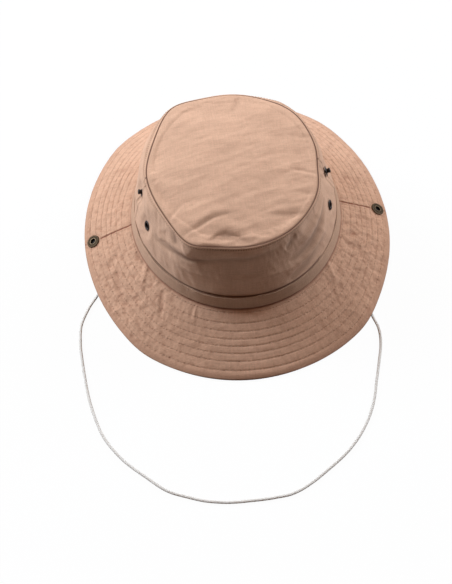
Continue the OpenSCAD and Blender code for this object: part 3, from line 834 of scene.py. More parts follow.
def wall_relief(angle, up):
    """Height of the crown cloth above the plain wall, and its darkening: painted shade in its
    creases, stitch dips and gaps, and dark seam lines.
    """
    arcs = arc(angle)
    height = np.zeros(np.broadcast(angle, up).shape)
    tone = np.zeros_like(height)
    # slack cloth: broad swells and finer drag lines between the seams
    hold = ease(0, 6, up) * ease(WALL_LENGTH, WALL_LENGTH - 5, up)
    height += hold * (1.0 * perlin(arcs / 46.0, up / 30.0)
                      + 0.35 * perlin(arcs / 15.0 + 5, up / 22.0 + 2))
    drag = fbm((arcs + 0.55 * up) / 11.0, (up - 0.35 * arcs) / 40.0 + 4)
    height += hold * 0.36 * drag * (0.4 + zone(angle, -35, 30) + zone(angle, -150, 25))
    yarns = fbm(arcs / 13.0 + 3, up / 2.6) + 0.8 * fbm(arcs / 3.1, up / 12.0 + 8)
    height += hold * 0.075 * yarns

    # the seam allowance pushes out a rib along the front, ending in a sharp lower edge, with
    # painted shade just below that edge
    degrees = np.degrees(angle)
    lower = np.interp(degrees, RIB_DEGREES, RIB_UP)
    span = ease(-146, -128, degrees) * (1 - ease(-86, -62, degrees))
    above = up - lower
    rib = ease(-2.6, 2.6, above) * ease(WALL_LENGTH - lower + 0.5, 3.0, above)
    height += span * 1.35 * rib
    tone += span * (0.22 * bump(above, -1.8, 3.4) + 0.10 * bump(above, -0.9, 1.3))
    add_creases(height, tone, arcs, up, unroll(WALL_CREASES))

    # felled side seams: a doubled strip with a step at its edge
    for _, seam, forward in SIDE_SEAMS:
        ahead = wrap(angle - seam) * (SIDE_RADIUS + WALL_OUT * up) * forward
        strip = ease(-0.3, 0.25, ahead) * (1 - ease(6.2, 7.0, ahead))
        stitched = sum(bump(ahead, line, 0.4) for line in FELL_STITCHES)
        height += 0.42 * strip * ease(WALL_LENGTH, WALL_LENGTH - 2, up)
        height -= 0.25 * bump(ahead, -0.25, 0.5) + 0.16 * stitched
        tone += ((0.55 + 0.85 * ease(44, 50, up)) * bump(ahead, -0.3, 0.55)
                 + 0.22 * stitched)

    # topstitch under the top seam, painted darker in its dips as shade, and the cloth turning in
    # over it
    height -= (0.20 + 0.10 * perlin(arcs / 4.0 + 2, 3.0)) * bump(up, 62.1, 0.5)
    tone += 0.62 * (0.55 + 0.45 * np.cos(2 * PI * arcs / 2.6)) * bump(up, 62.1, 0.42)
    height += 0.26 * bump(up, 63.1, 0.7) - 0.75 * ease(63.5, WALL_LENGTH, up) ** 1.4
    # painted shade in the top seam, left off at the back where the light falls
    tone += 1.25 * ease(63.85, 64.4, up) * (1 - 0.85 * zone(angle, 90, 24))
    # shadowed gap above the standing edge of the hat band
    gap = (ease(-164, -158, degrees) * (1 - ease(-41, -36, degrees))
           + bump(degrees, -19, 2.5) + 0.7 * bump(degrees, -171, 2.5)
           + 0.3 * bump(degrees, 150, 12) + 0.3 * bump(degrees, 60, 12))
    tone += np.clip(gap, 0, 1) * bump(up, 12.9, 0.62)
    # flat under the hat band and round the studs and eyelets
    height *= 1 - ease(15.5, 12.5, up)
    for deg, centre_up, radius in WALL_HARDWARE:
        distance = from_hardware(angle, up, deg, centre_up)
        height *= ease(radius * 0.62, radius * 1.25, distance)
        # painted shade in a ring round each stud and eyelet
        tone += 0.30 * bump(distance, 4.9, 0.7)
    return np.clip(height, -0.75 - 0.9 * ease(62.5, 64.5, up), 2.6), tone


def wall_point(angle, up, height):
    """Points on the full, rounded crown wall, moved out square to its slope."""
    x, y = oval(angle, WALL_OUT * up)
    t = np.clip((up - 13.0) / (WALL_LENGTH - 13.0), 0, 1.0)
    belly = (3.6 * zone(angle, 160, 26) + 3.0 * zone(angle, 24, 26)
             + 1.2 * zone(angle, -160, 14) + 1.0 * zone(angle, 90, 30))
    clear = 1.0
    for deg, centre_up, _ in WALL_HARDWARE:
        clear = clear * ease(4.8, 12.5, from_hardware(angle, up, deg, centre_up))
    full = puff_out(angle) * t ** 1.15 + belly * np.sin(PI * t ** 0.85) ** 1.2 * clear
    roll = (5.2 * (zone(angle, 50, 20) + zone(angle, 148, 22)) + 2.0 * zone(angle, 95, 26)
            + 1.6 * zone(angle, -168, 10) + 1.5 * zone(angle, 8, 12))
    full = full + roll * bump(up, 54.5, 8.5) * ease(64.5, 60.5, up) * (0.35 + 0.65 * clear)
    reach = full + WALL_UP * height
    return np.stack(np.broadcast_arrays(
        x + np.cos(angle) * reach, y + np.sin(angle) * reach,
        SEAM_Z + WALL_UP * up - WALL_OUT * height), -1)


def wall_normal(angle):
    return np.stack([np.cos(angle) * WALL_UP, np.sin(angle) * WALL_UP,
                     -WALL_OUT + 0 * angle], -1)


def wall_shell():
    """The wall cloth all the way round, outer face then inner face."""
    height, tone = wall_relief(ANGLE_COL, UP[None])
    down = np.concatenate([[64.3, 63.0], np.linspace(61.0, 3.0, 25), [0.0]])
    inside = np.clip(resample(height, UP, down) * 0.85, -0.6, 2.0) - 0.85
    points = np.concatenate([wall_point(ANGLE_COL, UP[None], height),
                             wall_point(ANGLE_COL, down[None], inside)], 1)
    tone = np.concatenate([tone, np.full((COLUMNS, len(down)), 0.12)], 1)
    return points, ring_uv(np.concatenate([UP, down])), tone, outward_normals(points)


WALL = wall_shell()
for name, first in (("front", 0), ("back", COLUMNS // 2)):
    ob = part_of_ring(f"crown_wall_{name}_cloth", WALL, first, first + COLUMNS // 2)
    put(ob, CROWN, "hat_cloth", f"crown_wall_{name}")


# ---------------------------------------------------------------- crown top: one eased panel
TOP_COLUMNS = 660
RHO = np.linspace(0.0, 1.0, 85) ** 0.85          # 0 at the middle, 1 at the seam
RIM_OFFSET = WALL_OUT * WALL_LENGTH - 0.75       # from the base oval
TOP_THICKNESS = 0.9

# points (x, y), height, width, lean, darkness of the painted shade in the crease
TOP_CREASES = (
    ([(-61, -53), (-59.5, -47), (-55, -41), (-48, -36)], -0.9, 2.0, 0.3, 0.35),
    ([(-57, -50), (-53, -43), (-46, -38)], 0.6, 2.6, 0.0, 0.0),
    ([(-53, -67.5), (-45, -62.5), (-35, -59), (-25, -54.5), (-17, -52), (-8, -51)],
     -1.0, 2.1, 0.35, 0.30),
    ([(-50, -61), (-38, -55), (-24, -49.5), (-8, -46.5)], 0.8, 4.0, 0.0, 0.0),
    ([(-29, -75), (-22, -71), (-15.5, -69.5), (-10, -72.5), (-2, -77.5), (4, -81)],
     -1.8, 3.2, -0.3, 0.36),
    ([(-34, -68), (-24, -63), (-12, -62.5), (0, -69), (9, -77)], 1.05, 4.0, 0.0, 0.0),
    ([(-44, -77.5), (-32, -81.5), (-20, -82.8), (-9, -80)], -1.1, 1.5, 0.0, 0.34),
    ([(-40, -74), (-30, -77), (-20, -78)], 1.0, 2.2, 0.0, 0.0),
    ([(-7, -82.3), (3, -83.4), (13, -83.6)], -0.7, 1.2, 0.0, 0.32),
    ([(45, -11.5), (55, -12.5), (66, -15.5), (72, -17)], -0.8, 1.7, 0.0, 0.36),
    ([(44, -15), (56, -16.5), (67, -19)], 0.5, 2.2, 0.0, 0.0),
    ([(45, -35.4), (64.4, -37.1)], -0.5, 2.0, 0.0, 0.20),
    ([(20, -55.5), (35, -57), (48, -57), (58, -55)], -0.7, 2.2, 0.0, 0.26),
    ([(18, -51), (34, -52), (50, -51)], 0.6, 3.0, 0.0, 0.0),
    ([(50, 26.4), (62, 25), (73.6, 23)], -0.8, 2.4, 0.0, 0.24),
    ([(-74, 2), (-70, -8), (-64, -22), (-62, -32)], -0.8, 3.0, 0.0, 0.20),
    ([(-70, 4), (-64, -8), (-58, -20)], 0.8, 4.0, 0.0, 0.0),
    ([(-60, 42), (-44, 50), (-30, 62)], 0.8, 4.0, 0.0, 0.0),
    ([(14, 80), (12, 70), (6, 58)], -0.9, 2.4, 0.0, 0.26),
    ([(40, 66), (36, 54), (38, 40)], 0.7, 3.2, 0.0, 0.0),
    ([(-20, 78), (-16, 66), (-20, 52)], 0.6, 3.2, 0.0, 0.0),
    ([(60, -45), (48, -42), (34, -44)], 0.5, 3.0, 0.0, 0.0),
)


def top_relief(x, y):
    """Height of the top cloth above its dome, and the painted shade in its creases."""
    height = (1.15 * perlin(x / 44.0 + 2.2, y / 40.0 + 7.0)
              + 0.55 * perlin(x / 21.0, y / 19.0 + 3) + 0.20 * fbm(x / 9.0, y / 9.0))
    pull = fbm((x + 0.5 * y) / 34.0 + 4, (y - 0.3 * x) / 8.5)
    height = (height + 0.30 * pull) * ease(1.0, 0.90, RHO)
    tone = np.zeros_like(height)
    near = ease(1.0, 0.965, RHO)
    add_creases(height, tone, x, y, TOP_CREASES, depth=0.86, spread=1.2, shade=0.60, mask=near)
    # gathers where the panel is eased into the seam
    angle = np.arctan2(y, x)
    gather = (perlin(np.cos(angle) * 13 + 4, np.sin(angle) * 13)
              + 0.6 * perlin(np.cos(angle) * 27, np.sin(angle) * 27 + 5))
    return height + 0.13 * gather * bump(RHO, 0.955, 0.035) * near, tone


def simulate_top():
    """Settles a flat grid as cloth held at the seam; returns its x, y and each point's rise."""
    count = 61
    grid_x = np.linspace(-76, 76, count)
    grid_y = np.linspace(-86, 86, count)
    x, y = np.meshgrid(grid_x, grid_y, indexing="ij")
    rim_x, rim_y = oval(np.linspace(-PI, PI, 721), RIM_OFFSET)
    rim_angle = np.arctan2(rim_y, rim_x)
    order = np.argsort(rim_angle)
    rim = np.interp(np.arctan2(y, x), rim_angle[order], np.hypot(rim_x, rim_y)[order],
                    period=2 * PI)
    rho = np.hypot(x, y) / rim
    z = 4.4 * (1 - np.clip(rho, 0, 1) ** 2.2)
    index = np.arange(count * count).reshape(count, count)
    faces = np.stack([index[:-1, :-1], index[1:, :-1], index[1:, 1:], index[:-1, 1:]], -1)
    mesh = bpy.data.meshes.new("top_sim")
    mesh.from_pydata((np.stack([x, y, z], -1).reshape(-1, 3) * MM).tolist(), [],
                     faces.reshape(-1, 4).tolist())
    ob = bpy.data.objects.new("top_sim", mesh)
    scene = bpy.context.scene
    scene.collection.objects.link(ob)
    pin = ob.vertex_groups.new(name="pin")
    for k in np.nonzero((rho > 0.955).ravel())[0]:
        pin.add([int(k)], 1.0, "REPLACE")
    modifier = ob.modifiers.new("Cloth", "CLOTH")
    settings = dict(
        quality=6, mass=0.02, tension_stiffness=12, compression_stiffness=12,
        shear_stiffness=6, bending_stiffness=0.02, vertex_group_mass="pin",
        shrink_min=-0.035, use_pressure=True, uniform_pressure_force=0.6)
    for key, value in settings.items():
        setattr(modifier.settings, key, value)
    modifier.settings.effector_weights.gravity = 0.0
    modifier.collision_settings.use_self_collision = False
    modifier.point_cache.frame_start = 1
    modifier.point_cache.frame_end = 26
    for number in range(1, 25):
        scene.frame_set(number)
    settled = ob.evaluated_get(bpy.context.evaluated_depsgraph_get())
    points = np.zeros(count * count * 3, np.float32)
    settled.data.vertices.foreach_get("co", points)
    rise = points.reshape(count, count, 3)[..., 2] / MM - z
    bpy.data.objects.remove(ob)
    bpy.data.meshes.remove(mesh)
    scene.frame_set(1)
    return grid_x, grid_y, np.clip(np.nan_to_num(rise), -3.0, 4.0)


def settled_rise(x, y):
    """The simulated rise read between grid points at x, y."""
    grid_x, grid_y, rise = simulate_top()
    across = np.clip((x - grid_x[0]) / (grid_x[1] - grid_x[0]), 0, 59.999)
    along = np.clip((y - grid_y[0]) / (grid_y[1] - grid_y[0]), 0, 59.999)
    i, j = across.astype(int), along.astype(int)
    a, b = across - i, along - j
    return (rise[i, j] * (1 - a) * (1 - b) + rise[i + 1, j] * a * (1 - b)
            + rise[i, j + 1] * (1 - a) * b + rise[i + 1, j + 1] * a * b)


def top_panel():
    """Outer sheet, rim and inner sheet as one shell with a single point at each middle."""
    angle = np.linspace(-PI, PI, TOP_COLUMNS + 1)[:-1][:, None]
    rim_x, rim_y = oval(angle, RIM_OFFSET)
    rim_x = rim_x + np.cos(angle) * puff_out(angle)
    rim_y = rim_y + np.sin(angle) * puff_out(angle)
    x, y = rim_x * RHO, rim_y * RHO
    height, tone = top_relief(x, y)
    # just under the seam at the rim, about 9 mm above it in the middle
    dome = 9.6 * (1 - RHO ** 2.2) + 0.55 * ease(1.0, 0.985, RHO) - 0.70
    z = WALL_TOP_Z + dome + height
    # painted shade along the seam at the rim, left off at the back where the light falls
    tone = tone + bump(RHO, 1.0, 0.007) * (1 - 0.85 * zone(angle, 90, 24))
    # if the cloth solve fails, the panel keeps its drawn shape
    try:
        z = z + np.clip(settled_rise(x, y), -1.6, 1.6) * 0.55 * ease(1.0, 0.90, RHO)
    except Exception as error:
        print("top panel cloth skipped:", error)

    outer = np.stack([x, y, z], -1)
    drop = outer[:, -1:] - np.array([0, 0, TOP_THICKNESS])
    inner_rho = np.array([0.998, 0.985, 0.95, 0.85, 0.7, 0.5, 0.3, 0.12, 0.0])
    inner = np.stack([rim_x * inner_rho, rim_y * inner_rho,
                      resample(z, RHO, inner_rho) - TOP_THICKNESS], -1)
    rings = np.concatenate([outer[:, 1:], drop, inner[:, 1:-1]], 1)
    # the rim face is painted dark as shade in the seam
    tones = np.concatenate([tone[:, 1:], np.full((TOP_COLUMNS, 1), 0.8),
                            np.full((TOP_COLUMNS, len(inner_rho) - 2), 0.1)], 1)
    index = np.arange(tones.size).reshape(tones.shape)
    following = np.roll(index, -1, 0)
    quads = np.stack([index[:, :-1], index[:, 1:], following[:, 1:], following[:, :-1]], -1)
    faces = quads.reshape(-1, 4).tolist()
    outer_middle, inner_middle = tones.size, tones.size + 1
    faces += [[outer_middle, int(index[k, 0]), int(following[k, 0])]
              for k in range(TOP_COLUMNS)]
    faces += [[inner_middle, int(following[k, -1]), int(index[k, -1])]
              for k in range(TOP_COLUMNS)]
    points = np.concatenate([rings.reshape(-1, 3), [outer[:, 0].mean(0)],
                             [inner[:, -1].mean(0)]])
    ob = mesh_object("crown_top_cloth", points, faces, np.append(tones.ravel(), [0, 0]))
    add_uv(ob.data, points[np.concatenate(faces)][:, :2])
    return ob


put(top_panel(), CROWN, "hat_cloth", "crown_top")


# ---------------------------------------------------------------- stitching on the crown
j = int(np.argmin(np.abs(UP - 61.2)))
centres, tangents, normals = stitches_on_ring(WALL[0][:, j], WALL[3][:, j], 2.6)
put(threads("top_seam_stitching", centres + normals * 0.12, tangents, normals,
            length=1.85, radius=0.19), THREAD, "hat_cloth")


def wall_surface(angle, up):
    return wall_point(angle, up, wall_relief(angle, up)[0])


for name, seam, forward in SIDE_SEAMS:
    up = np.tile(np.arange(14.5, 61.0, 2.7), len(FELL_STITCHES))
    offset = np.repeat(FELL_STITCHES, len(up) // len(FELL_STITCHES))
    angle = seam + forward * offset / (SIDE_RADIUS + WALL_OUT * up)
    low, high = wall_surface(angle, up - 0.5), wall_surface(angle, up + 0.5)
    normals = wall_normal(angle)
    put(threads(f"{name}_side_seam_stitching", (low + high) / 2 + normals * 0.12, high - low,
                normals, length=1.9, radius=0.19), THREAD, "hat_cloth")


# ---------------------------------------------------------------- hat band
BAND_UP = np.array([0.55, 0.9, 1.6, 3.0, 5.0, 7.0, 9.0, 10.5, 11.6, 12.2, 12.55])
TACK_DEGREES = [-176, -157, -128, -84, -52, -36, -22, -6, 12, 40, 75, 105, 140, 168]


def band_gape():
    """How far the top edge stands off the wall: held at the tacks, open along the front."""
    gape = np.full(COLUMNS, 1.25)
    for tack in TACK_DEGREES:
        away = np.abs((np.degrees(ANGLES) - tack + 180) % 360 - 180)
        gape *= 1 - 0.9 * np.exp(-(away / 4.0) ** 2)
    gape = gape * np.clip(0.05 + zone(ANGLES, -102, 50), 0, 1) + 0.03
    gape += 0.35 * zone(ANGLES, -112, 14) + 0.22 * zone(ANGLES, -148, 12)
    gape += 0.16 * perlin(ANGLES * 9, 2.2) * zone(ANGLES, -102, 60)
    return np.clip(gape, 0.02, 2.2)[:, None]


def band_points():
    """A folded strip round the base of the wall, and its stations across."""
    stand = band_gape() * np.clip((BAND_UP - 0.55) / 12.0, 0, 1) ** 2
    outside = (1.12 + stand
               + 0.18 * perlin(ARC_COL / 14.0, BAND_UP / 9.0 + 3) * ease(0.5, 4, BAND_UP)
               - 0.30 * ease(11.9, 12.55, BAND_UP) - 0.18 * ease(1.4, 0.55, BAND_UP))
    closed = 1 - np.clip(1.15 * zone(ANGLE_COL, -102, 52), 0, 1)
    outside = outside - 0.55 * closed * ease(10.8, 12.55, BAND_UP)
    down = BAND_UP[::-1].copy()
    down[0] = 12.35
    sag = 0.35 * perlin(ARC_COL / 40.0 + 9, 0.0) * np.clip((BAND_UP - 0.55) / 12.0, 0, 1) ** 2
    points = np.concatenate([
        wall_point(ANGLE_COL, BAND_UP + sag, outside),
        wall_point(ANGLE_COL, down + sag[:, ::-1], 0.10 + stand[:, ::-1])], 1)
    return points, np.concatenate([BAND_UP, down])


points, across = band_points()
# painted shade: a little over the band, more at its lower and upper edges, and dark on its inner
# face for the gap behind it
tone = np.concatenate([0.10 + 0.4 * bump(BAND_UP, 0.5, 0.5) + 0.12 * bump(BAND_UP, 12.5, 0.4),
                       np.full(len(BAND_UP), 0.75)])
put(tube("hat_band_cloth", points, ring_uv(across), tone, True, outward_normals(points)),
    BAND, "hat_cloth", "hat_band")

# bar tacks that hold the band's top edge: four stitches from station 6 up to station 9
centres, tangents, normals = [], [], []
for tack in TACK_DEGREES:
    i = int(round((tack + 180) / 360 * COLUMNS)) % COLUMNS
    normal = wall_normal(ANGLES[i])
    low, high = points[i, 6] + normal * 0.1, points[i, 9] + normal * 0.25
    for k in range(4):
        centres.append(low * (1 - k / 3.0) + high * (k / 3.0))
        tangents.append([-math.sin(ANGLES[i]), math.cos(ANGLES[i]), 0])
        normals.append(normal)
put(threads("hat_band_bar_tacks", centres, tangents, normals, length=2.0, radius=0.20),
    THREAD, "hat_cloth")


# ---------------------------------------------------------------- sweatband inside the base
SWEAT_UP = np.linspace(25.0, -1.5, 24)
SWEAT_STITCHES = (("lower", 1.4), ("upper", 22.8))
wobble = (0.16 * perlin(ARC_COL / 9.0 + 1, SWEAT_UP / 8.0)
          + 0.10 * perlin(ARC_COL / 3.4, SWEAT_UP / 6.0 + 8))
inside = -2.1 + wobble * ease(-1.5, 3, SWEAT_UP) * ease(25, 22, SWEAT_UP)
tone = np.zeros(2 * len(SWEAT_UP))
# the stitch rows swell the cloth and are painted darker as shade
for _, row in SWEAT_STITCHES:
    inside = inside + 0.20 * bump(SWEAT_UP, row, 0.7)
    tone[:len(SWEAT_UP)] += 0.4 * bump(SWEAT_UP, row, 0.6)
points = np.concatenate([
    wall_point(ANGLE_COL, SWEAT_UP[None], inside),
    wall_point(ANGLE_COL, SWEAT_UP[::-1][None], -1.08 + 0.02 * wobble)], 1)
uv = ring_uv(np.concatenate([SWEAT_UP, SWEAT_UP[::-1]]))
put(tube("sweatband_cloth", points, uv, tone, True, outward_normals(points)),
    SWEATBAND, "sweatband_cloth", "sweatband")

angle = np.linspace(-PI, PI, 221)[:-1]
tangents = np.stack([-np.sin(angle), np.cos(angle), 0 * angle], -1)
for name, row in SWEAT_STITCHES:
    centres = wall_point(angle[:, None], np.array([[row]]), -2.2)[:, 0]
    put(threads(f"sweatband_{name}_stitching", centres, tangents, -wall_normal(angle),
                length=2.0, radius=0.19), THREAD, "sweatband_cloth")


# ---------------------------------------------------------------- chin cord: a flat braid
def spline(points, step):
    """Smooth curve through the points, sampled evenly."""
    p = np.array(points, float)
    p = np.concatenate([[2 * p[0] - p[1]], p, [2 * p[-1] - p[-2]]])
    curve = []
    t = np.linspace(0, 1, 24, endpoint=False)[:, None]
    for i in range(1, len(p) - 2):
        a, b, c, d = p[i - 1:i + 3]
        curve.append(0.5 * (2 * b + (c - a) * t + (2 * a - 5 * b + 4 * c - d) * t ** 2
                            + (3 * b - a - 3 * c + d) * t ** 3))
    curve = np.concatenate(curve + [p[-2:-1]])
    run = run_length(curve)
    even = np.linspace(0, run[-1], int(run[-1] / step) + 1)
    return np.stack([np.interp(even, run, curve[:, k]) for k in range(3)], 1)


def rounded(angles, power):
    """Cosine and sine of a section that gets squarer as the power drops below 1."""
    c, s = np.cos(angles), np.sin(angles)
    return np.sign(c) * np.abs(c) ** power, np.sign(s) * np.abs(s) ** power


CORD_Z = 21.0                   # where it enters the hat
LAY = 1.25                      # where it lies on the floor
CORD_PATH = [
    (-85.4, 0, CORD_Z), (-91.0, 0, CORD_Z), (-94.5, -1.4, 20.4), (-101, -9, 15.6),
    (-112, -25, 8.0), (-121, -40, 3.4), (-129.4, -52.5, LAY), (-137, -64, LAY),
    (-144.6, -80.5, LAY), (-146.6, -98, LAY), (-146.2, -117, LAY), (-143.2, -152, LAY),
    (-138, -178, LAY), (-131.5, -196, LAY), (-119.2, -214.8, LAY), (-102, -233, LAY),
    (-86, -247.2, LAY), (-68, -255.6, LAY), (-51, -261, LAY), (-34.5, -264, LAY),
    (-18, -264.2, LAY), (-2, -264, LAY), (12, -262.3, LAY), (29, -254.7, LAY),
    (46, -243.7, LAY), (62, -230.7, LAY), (75.4, -216.4, LAY), (85, -201, LAY),
    (92, -184.5, LAY), (96.5, -169, LAY), (102, -151, LAY), (106.5, -134.5, LAY),
    (107.5, -119, LAY), (104.2, -104, LAY), (103.5, -88, LAY), (106, -66, LAY + 0.2),
    (108.5, -46, 3.0), (107, -28, 7.6), (100.5, -10, 15.0), (94.5, -1.4, 20.4),
    (91.0, 0, CORD_Z), (85.4, 0, CORD_Z)]
BRAID_SIDES = 20
cord_path = spline(CORD_PATH, 0.75)
cord_run = run_length(cord_path)
cord_path[:, 2] += 0.10 * perlin(cord_run / 21.0, 4)
cord_path[:, 1] += (0.5 * perlin(cord_run / 26.0 + 9, 1) * ease(50, 80, cord_run)
                    * ease(cord_run[-1] - 50, cord_run[-1] - 80, cord_run))


def braid_ribs(run, angles):
    """Two sets of strands that cross as they wind round the cord."""
    phase = 2 * PI * run / 2.9
    return np.maximum(np.sin(phase + 2 * angles), np.sin(phase + PI - 2 * angles))


def braid_section(i, angles):
    run = cord_run[i]
    flatten = min(1.0, min(run, cord_run[-1] - run) / 10.0)
    across, up = rounded(angles, 0.72)
    rib = 0.06 * braid_ribs(run, angles)
    return np.stack([across * (1.02 + 0.08 * flatten + rib),
                     up * (1.02 - 0.22 * flatten + rib)], -1)


def knot_section(i, angles):
    return np.stack([np.cos(angles) * (0.95 + 0.09 * np.sin(i * 0.9 + 2 * angles)),
                     np.sin(angles) * (0.95 + 0.09 * np.sin(i * 0.9 - 2 * angles))], -1)


def tape_section(i, angles):
    across, up = rounded(angles, 0.5)
    return np.stack([across * 0.40, up * (2.05 + 0.06 * np.sin(i * 1.3))], -1)


def knot_path(x):
    """A trefoil knot about (x, 0, CORD_Z)."""
    t = np.linspace(0, 2 * PI, 121)
    return np.stack([x + 0.50 * (np.sin(t) + 2 * np.sin(2 * t)),
                     0.50 * (np.cos(t) - 2 * np.cos(2 * t)), CORD_Z - 0.75 * np.sin(3 * t)], -1)


def tab_path(x):
    """A loop round the cord, both ends going up into the base seam."""
    loop = [(x, 0.55, 27.6), (x, 0.55, 25.6), (x, 0.62, 24.1)]
    loop += [(x, 2.42 * math.cos(a), CORD_Z + 2.42 * math.sin(a))
             for a in np.linspace(math.radians(68), math.radians(-248), 48)]
    loop += [(x, -0.62, 24.1), (x, -0.55, 25.6), (x, -0.55, 27.6)]
    return spline(loop, 0.3)


# painted shade in the grooves between the crossing strands
braid_groove_shade = 0.07 - 0.20 * braid_ribs(cord_run[:, None],
                                    np.arange(BRAID_SIDES) * 2 * PI / BRAID_SIDES)
put(sweep("chin_cord_braid", cord_path, braid_section, BRAID_SIDES,
          tone=np.clip(braid_groove_shade, 0, 1)), CORD, "cord_cotton", "chin_cord", body="cord")
for side, sign in SIDES:
    put(sweep(f"{side}_cord_knot", knot_path(sign * 83.8), knot_section, 14, tone=0.15),
        CORD, "cord_cotton", "cord_end_knots", body="cord")
    put(sweep(f"{side}_cord_tab_tape", tab_path(sign * 88.7), tape_section, 20,
              hint=(1, 0, 0), tone=0.1), TAPE, "binding_tape", f"{side}_cord_tab")


# ---------------------------------------------------------------- tapes over the inner seams
up = np.linspace(WALL_LENGTH - 7.4, WALL_LENGTH - 1.4, 12)
inside = (-1.70 + 0.05 * np.sin(ARCS * 2 * PI / 1.6)[:, None]
          + 0.10 * perlin(ARC_COL / 6.0, up / 3.0)
          + 0.28 * (bump(up, WALL_LENGTH - 6.6, 0.5) + bump(up, WALL_LENGTH - 2.2, 0.5)))
points = np.concatenate([wall_point(ANGLE_COL, up[None], inside),
                         wall_point(ANGLE_COL, up[::-1][None], -1.02)], 1)
put(tube("top_seam_tape", points, ring_uv(np.concatenate([up, up[::-1]])), 0.05, True),
    TAPE, "binding_tape", "top_seam_binding")

for side, seam, _ in SIDE_SEAMS:
    up = np.linspace(26.5, WALL_LENGTH - 8.2, 64)[:, None]
    across = np.linspace(-4.2, 4.2, 11)
    angle = seam + across / (SIDE_RADIUS + WALL_OUT * up)
    ridge = (0.05 * np.sin(up * 2 * PI / 1.6)
             + 0.22 * (bump(across, -3.4, 0.5) + bump(across, 3.4, 0.5)))
    points = np.concatenate([wall_point(angle, up, -1.72 + ridge),
                             wall_point(angle[:, ::-1], up, -1.0)], 1)
    uv = np.zeros((len(up) + 1, 2 * len(across) + 1, 2))
    uv[..., 0] = np.append(up, up[-1])[:, None]
    uv[:, :-1, 1] = np.concatenate([across, across[::-1]])
    put(tube(f"{side}_side_seam_tape", points, uv, 0.05, False),
        TAPE, "binding_tape", "side_seam_bindings")


# ---------------------------------------------------------------- eyelet holes in the wall
def eyelet_cutter():
    """Four cylinders square to the wall, one through each eyelet."""
    radius, reach, count = 2.75, 6.0, 28
    points, faces = [], []
    for side in (0, 180):
        for turn in (-EYELET_TURN, EYELET_TURN):
            a = math.radians(side + turn)
            centre = wall_point(np.array([[a]]), np.array([[float(EYELET_UP)]]), 0.0)[0, 0]
            normal = wall_normal(a)
            tangent = np.array([-math.sin(a), math.cos(a), 0])
            other = np.cross(normal, tangent)
            base = len(points)
            for depth in (-reach, reach):
                for k in range(count):
                    b = 2 * PI * k / count
                    points.append(centre + normal * depth
                                  + (tangent * math.cos(b) + other * math.sin(b)) * radius)
            low = [base + k for k in range(count)]
            high = [i + count for i in low]
            for k in range(count):
                k2 = (k + 1) % count
                faces.append([low[k], low[k2], high[k2], high[k]])
            faces += [low[::-1], high]
    # its tone of 0.6 passes to the hole walls the cut leaves, as painted shade in the holes
    return mesh_object("cutter", points, faces, 0.6, smooth=False)


cutter = eyelet_cutter()
for name in ("front", "back"):
    ob = bpy.data.objects[f"crown_wall_{name}_cloth"]
    modifier = ob.modifiers.new("holes", "BOOLEAN")
    modifier.operation = "DIFFERENCE"
    modifier.solver = "EXACT"
    modifier.object = cutter
    bpy.context.view_layer.update()
    depsgraph = bpy.context.evaluated_depsgraph_get()
    pierced = bpy.data.meshes.new_from_object(
        ob.evaluated_get(depsgraph), preserve_all_data_layers=True, depsgraph=depsgraph)
    ob.modifiers.clear()
    # a failed cut changes the vertex count a lot; the wall then stays whole
    if 0.97 < len(pierced.vertices) / len(ob.data.vertices) < 1.05:
        ob.data = pierced
        pierced.polygons.foreach_set("use_smooth", [True] * len(pierced.polygons))
        if not pierced.materials:               # in case the cut dropped it
            pierced.materials.append(CROWN)
bpy.data.objects.remove(cutter)


# ---------------------------------------------------------------- metal parts from the CAD
for material, names in (
        (BRASS, ("left_snap_socket", "left_socket_cap", "right_snap_socket",
                 "right_socket_cap")),
        (BLACK, ("left_snap_stud", "left_stud_rivet", "right_snap_stud", "right_stud_rivet",
                 "vent_eyelets", "vent_washers"))):
    for name in names:
        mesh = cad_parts[name].data
        mesh.materials.clear()
        mesh.materials.append(material)
        for polygon in mesh.polygons:
            polygon.material_index = 0


def hole_shade_cup(side, sign):
    """Near-black cup in a socket's hole as painted shade, deep enough for the stud's tip when
    snapped up.
    """
    # radius, height along the axis; the first and last are single points
    profile = [(0.0, -1.56), (2.56, -1.56), (2.56, -0.10), (2.44, -0.10), (2.40, -1.36),
               (0.0, -1.42)]
    count = 40
    low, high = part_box(f"{side}_snap_socket")
    centre = np.array([(low[k] + high[k]) / 2 / MM for k in range(3)])
    axis = np.array([sign * math.sin(BRIM_SLOPE), 0, math.cos(BRIM_SLOPE)])
    first = np.array([0.0, 1.0, 0.0])
    second = np.cross(axis, first)
    points = [centre + axis * profile[0][1]]
    for radius, z in profile[1:-1]:
        for k in range(count):
            a = 2 * PI * k / count
            points.append(centre + axis * z
                          + (first * math.cos(a) + second * math.sin(a)) * radius)
    points.append(centre + axis * profile[-1][1])
    last = len(points) - 1
    faces = []
    for k in range(count):
        k2 = (k + 1) % count
        faces.append([0, 1 + k, 1 + k2])
        for start in (1, 1 + count, 1 + 2 * count):
            faces.append([start + k, start + count + k, start + count + k2, start + k2])
        faces.append([1 + 3 * count + k, last, 1 + 3 * count + k2])
    return mesh_object(f"{side}_socket_hole_shade_cup", points, faces, smooth=False)


for side, sign in SIDES:
    put(hole_shade_cup(side, sign), HOLE_SHADE, "antique_brass", body=f"flap_{side}")


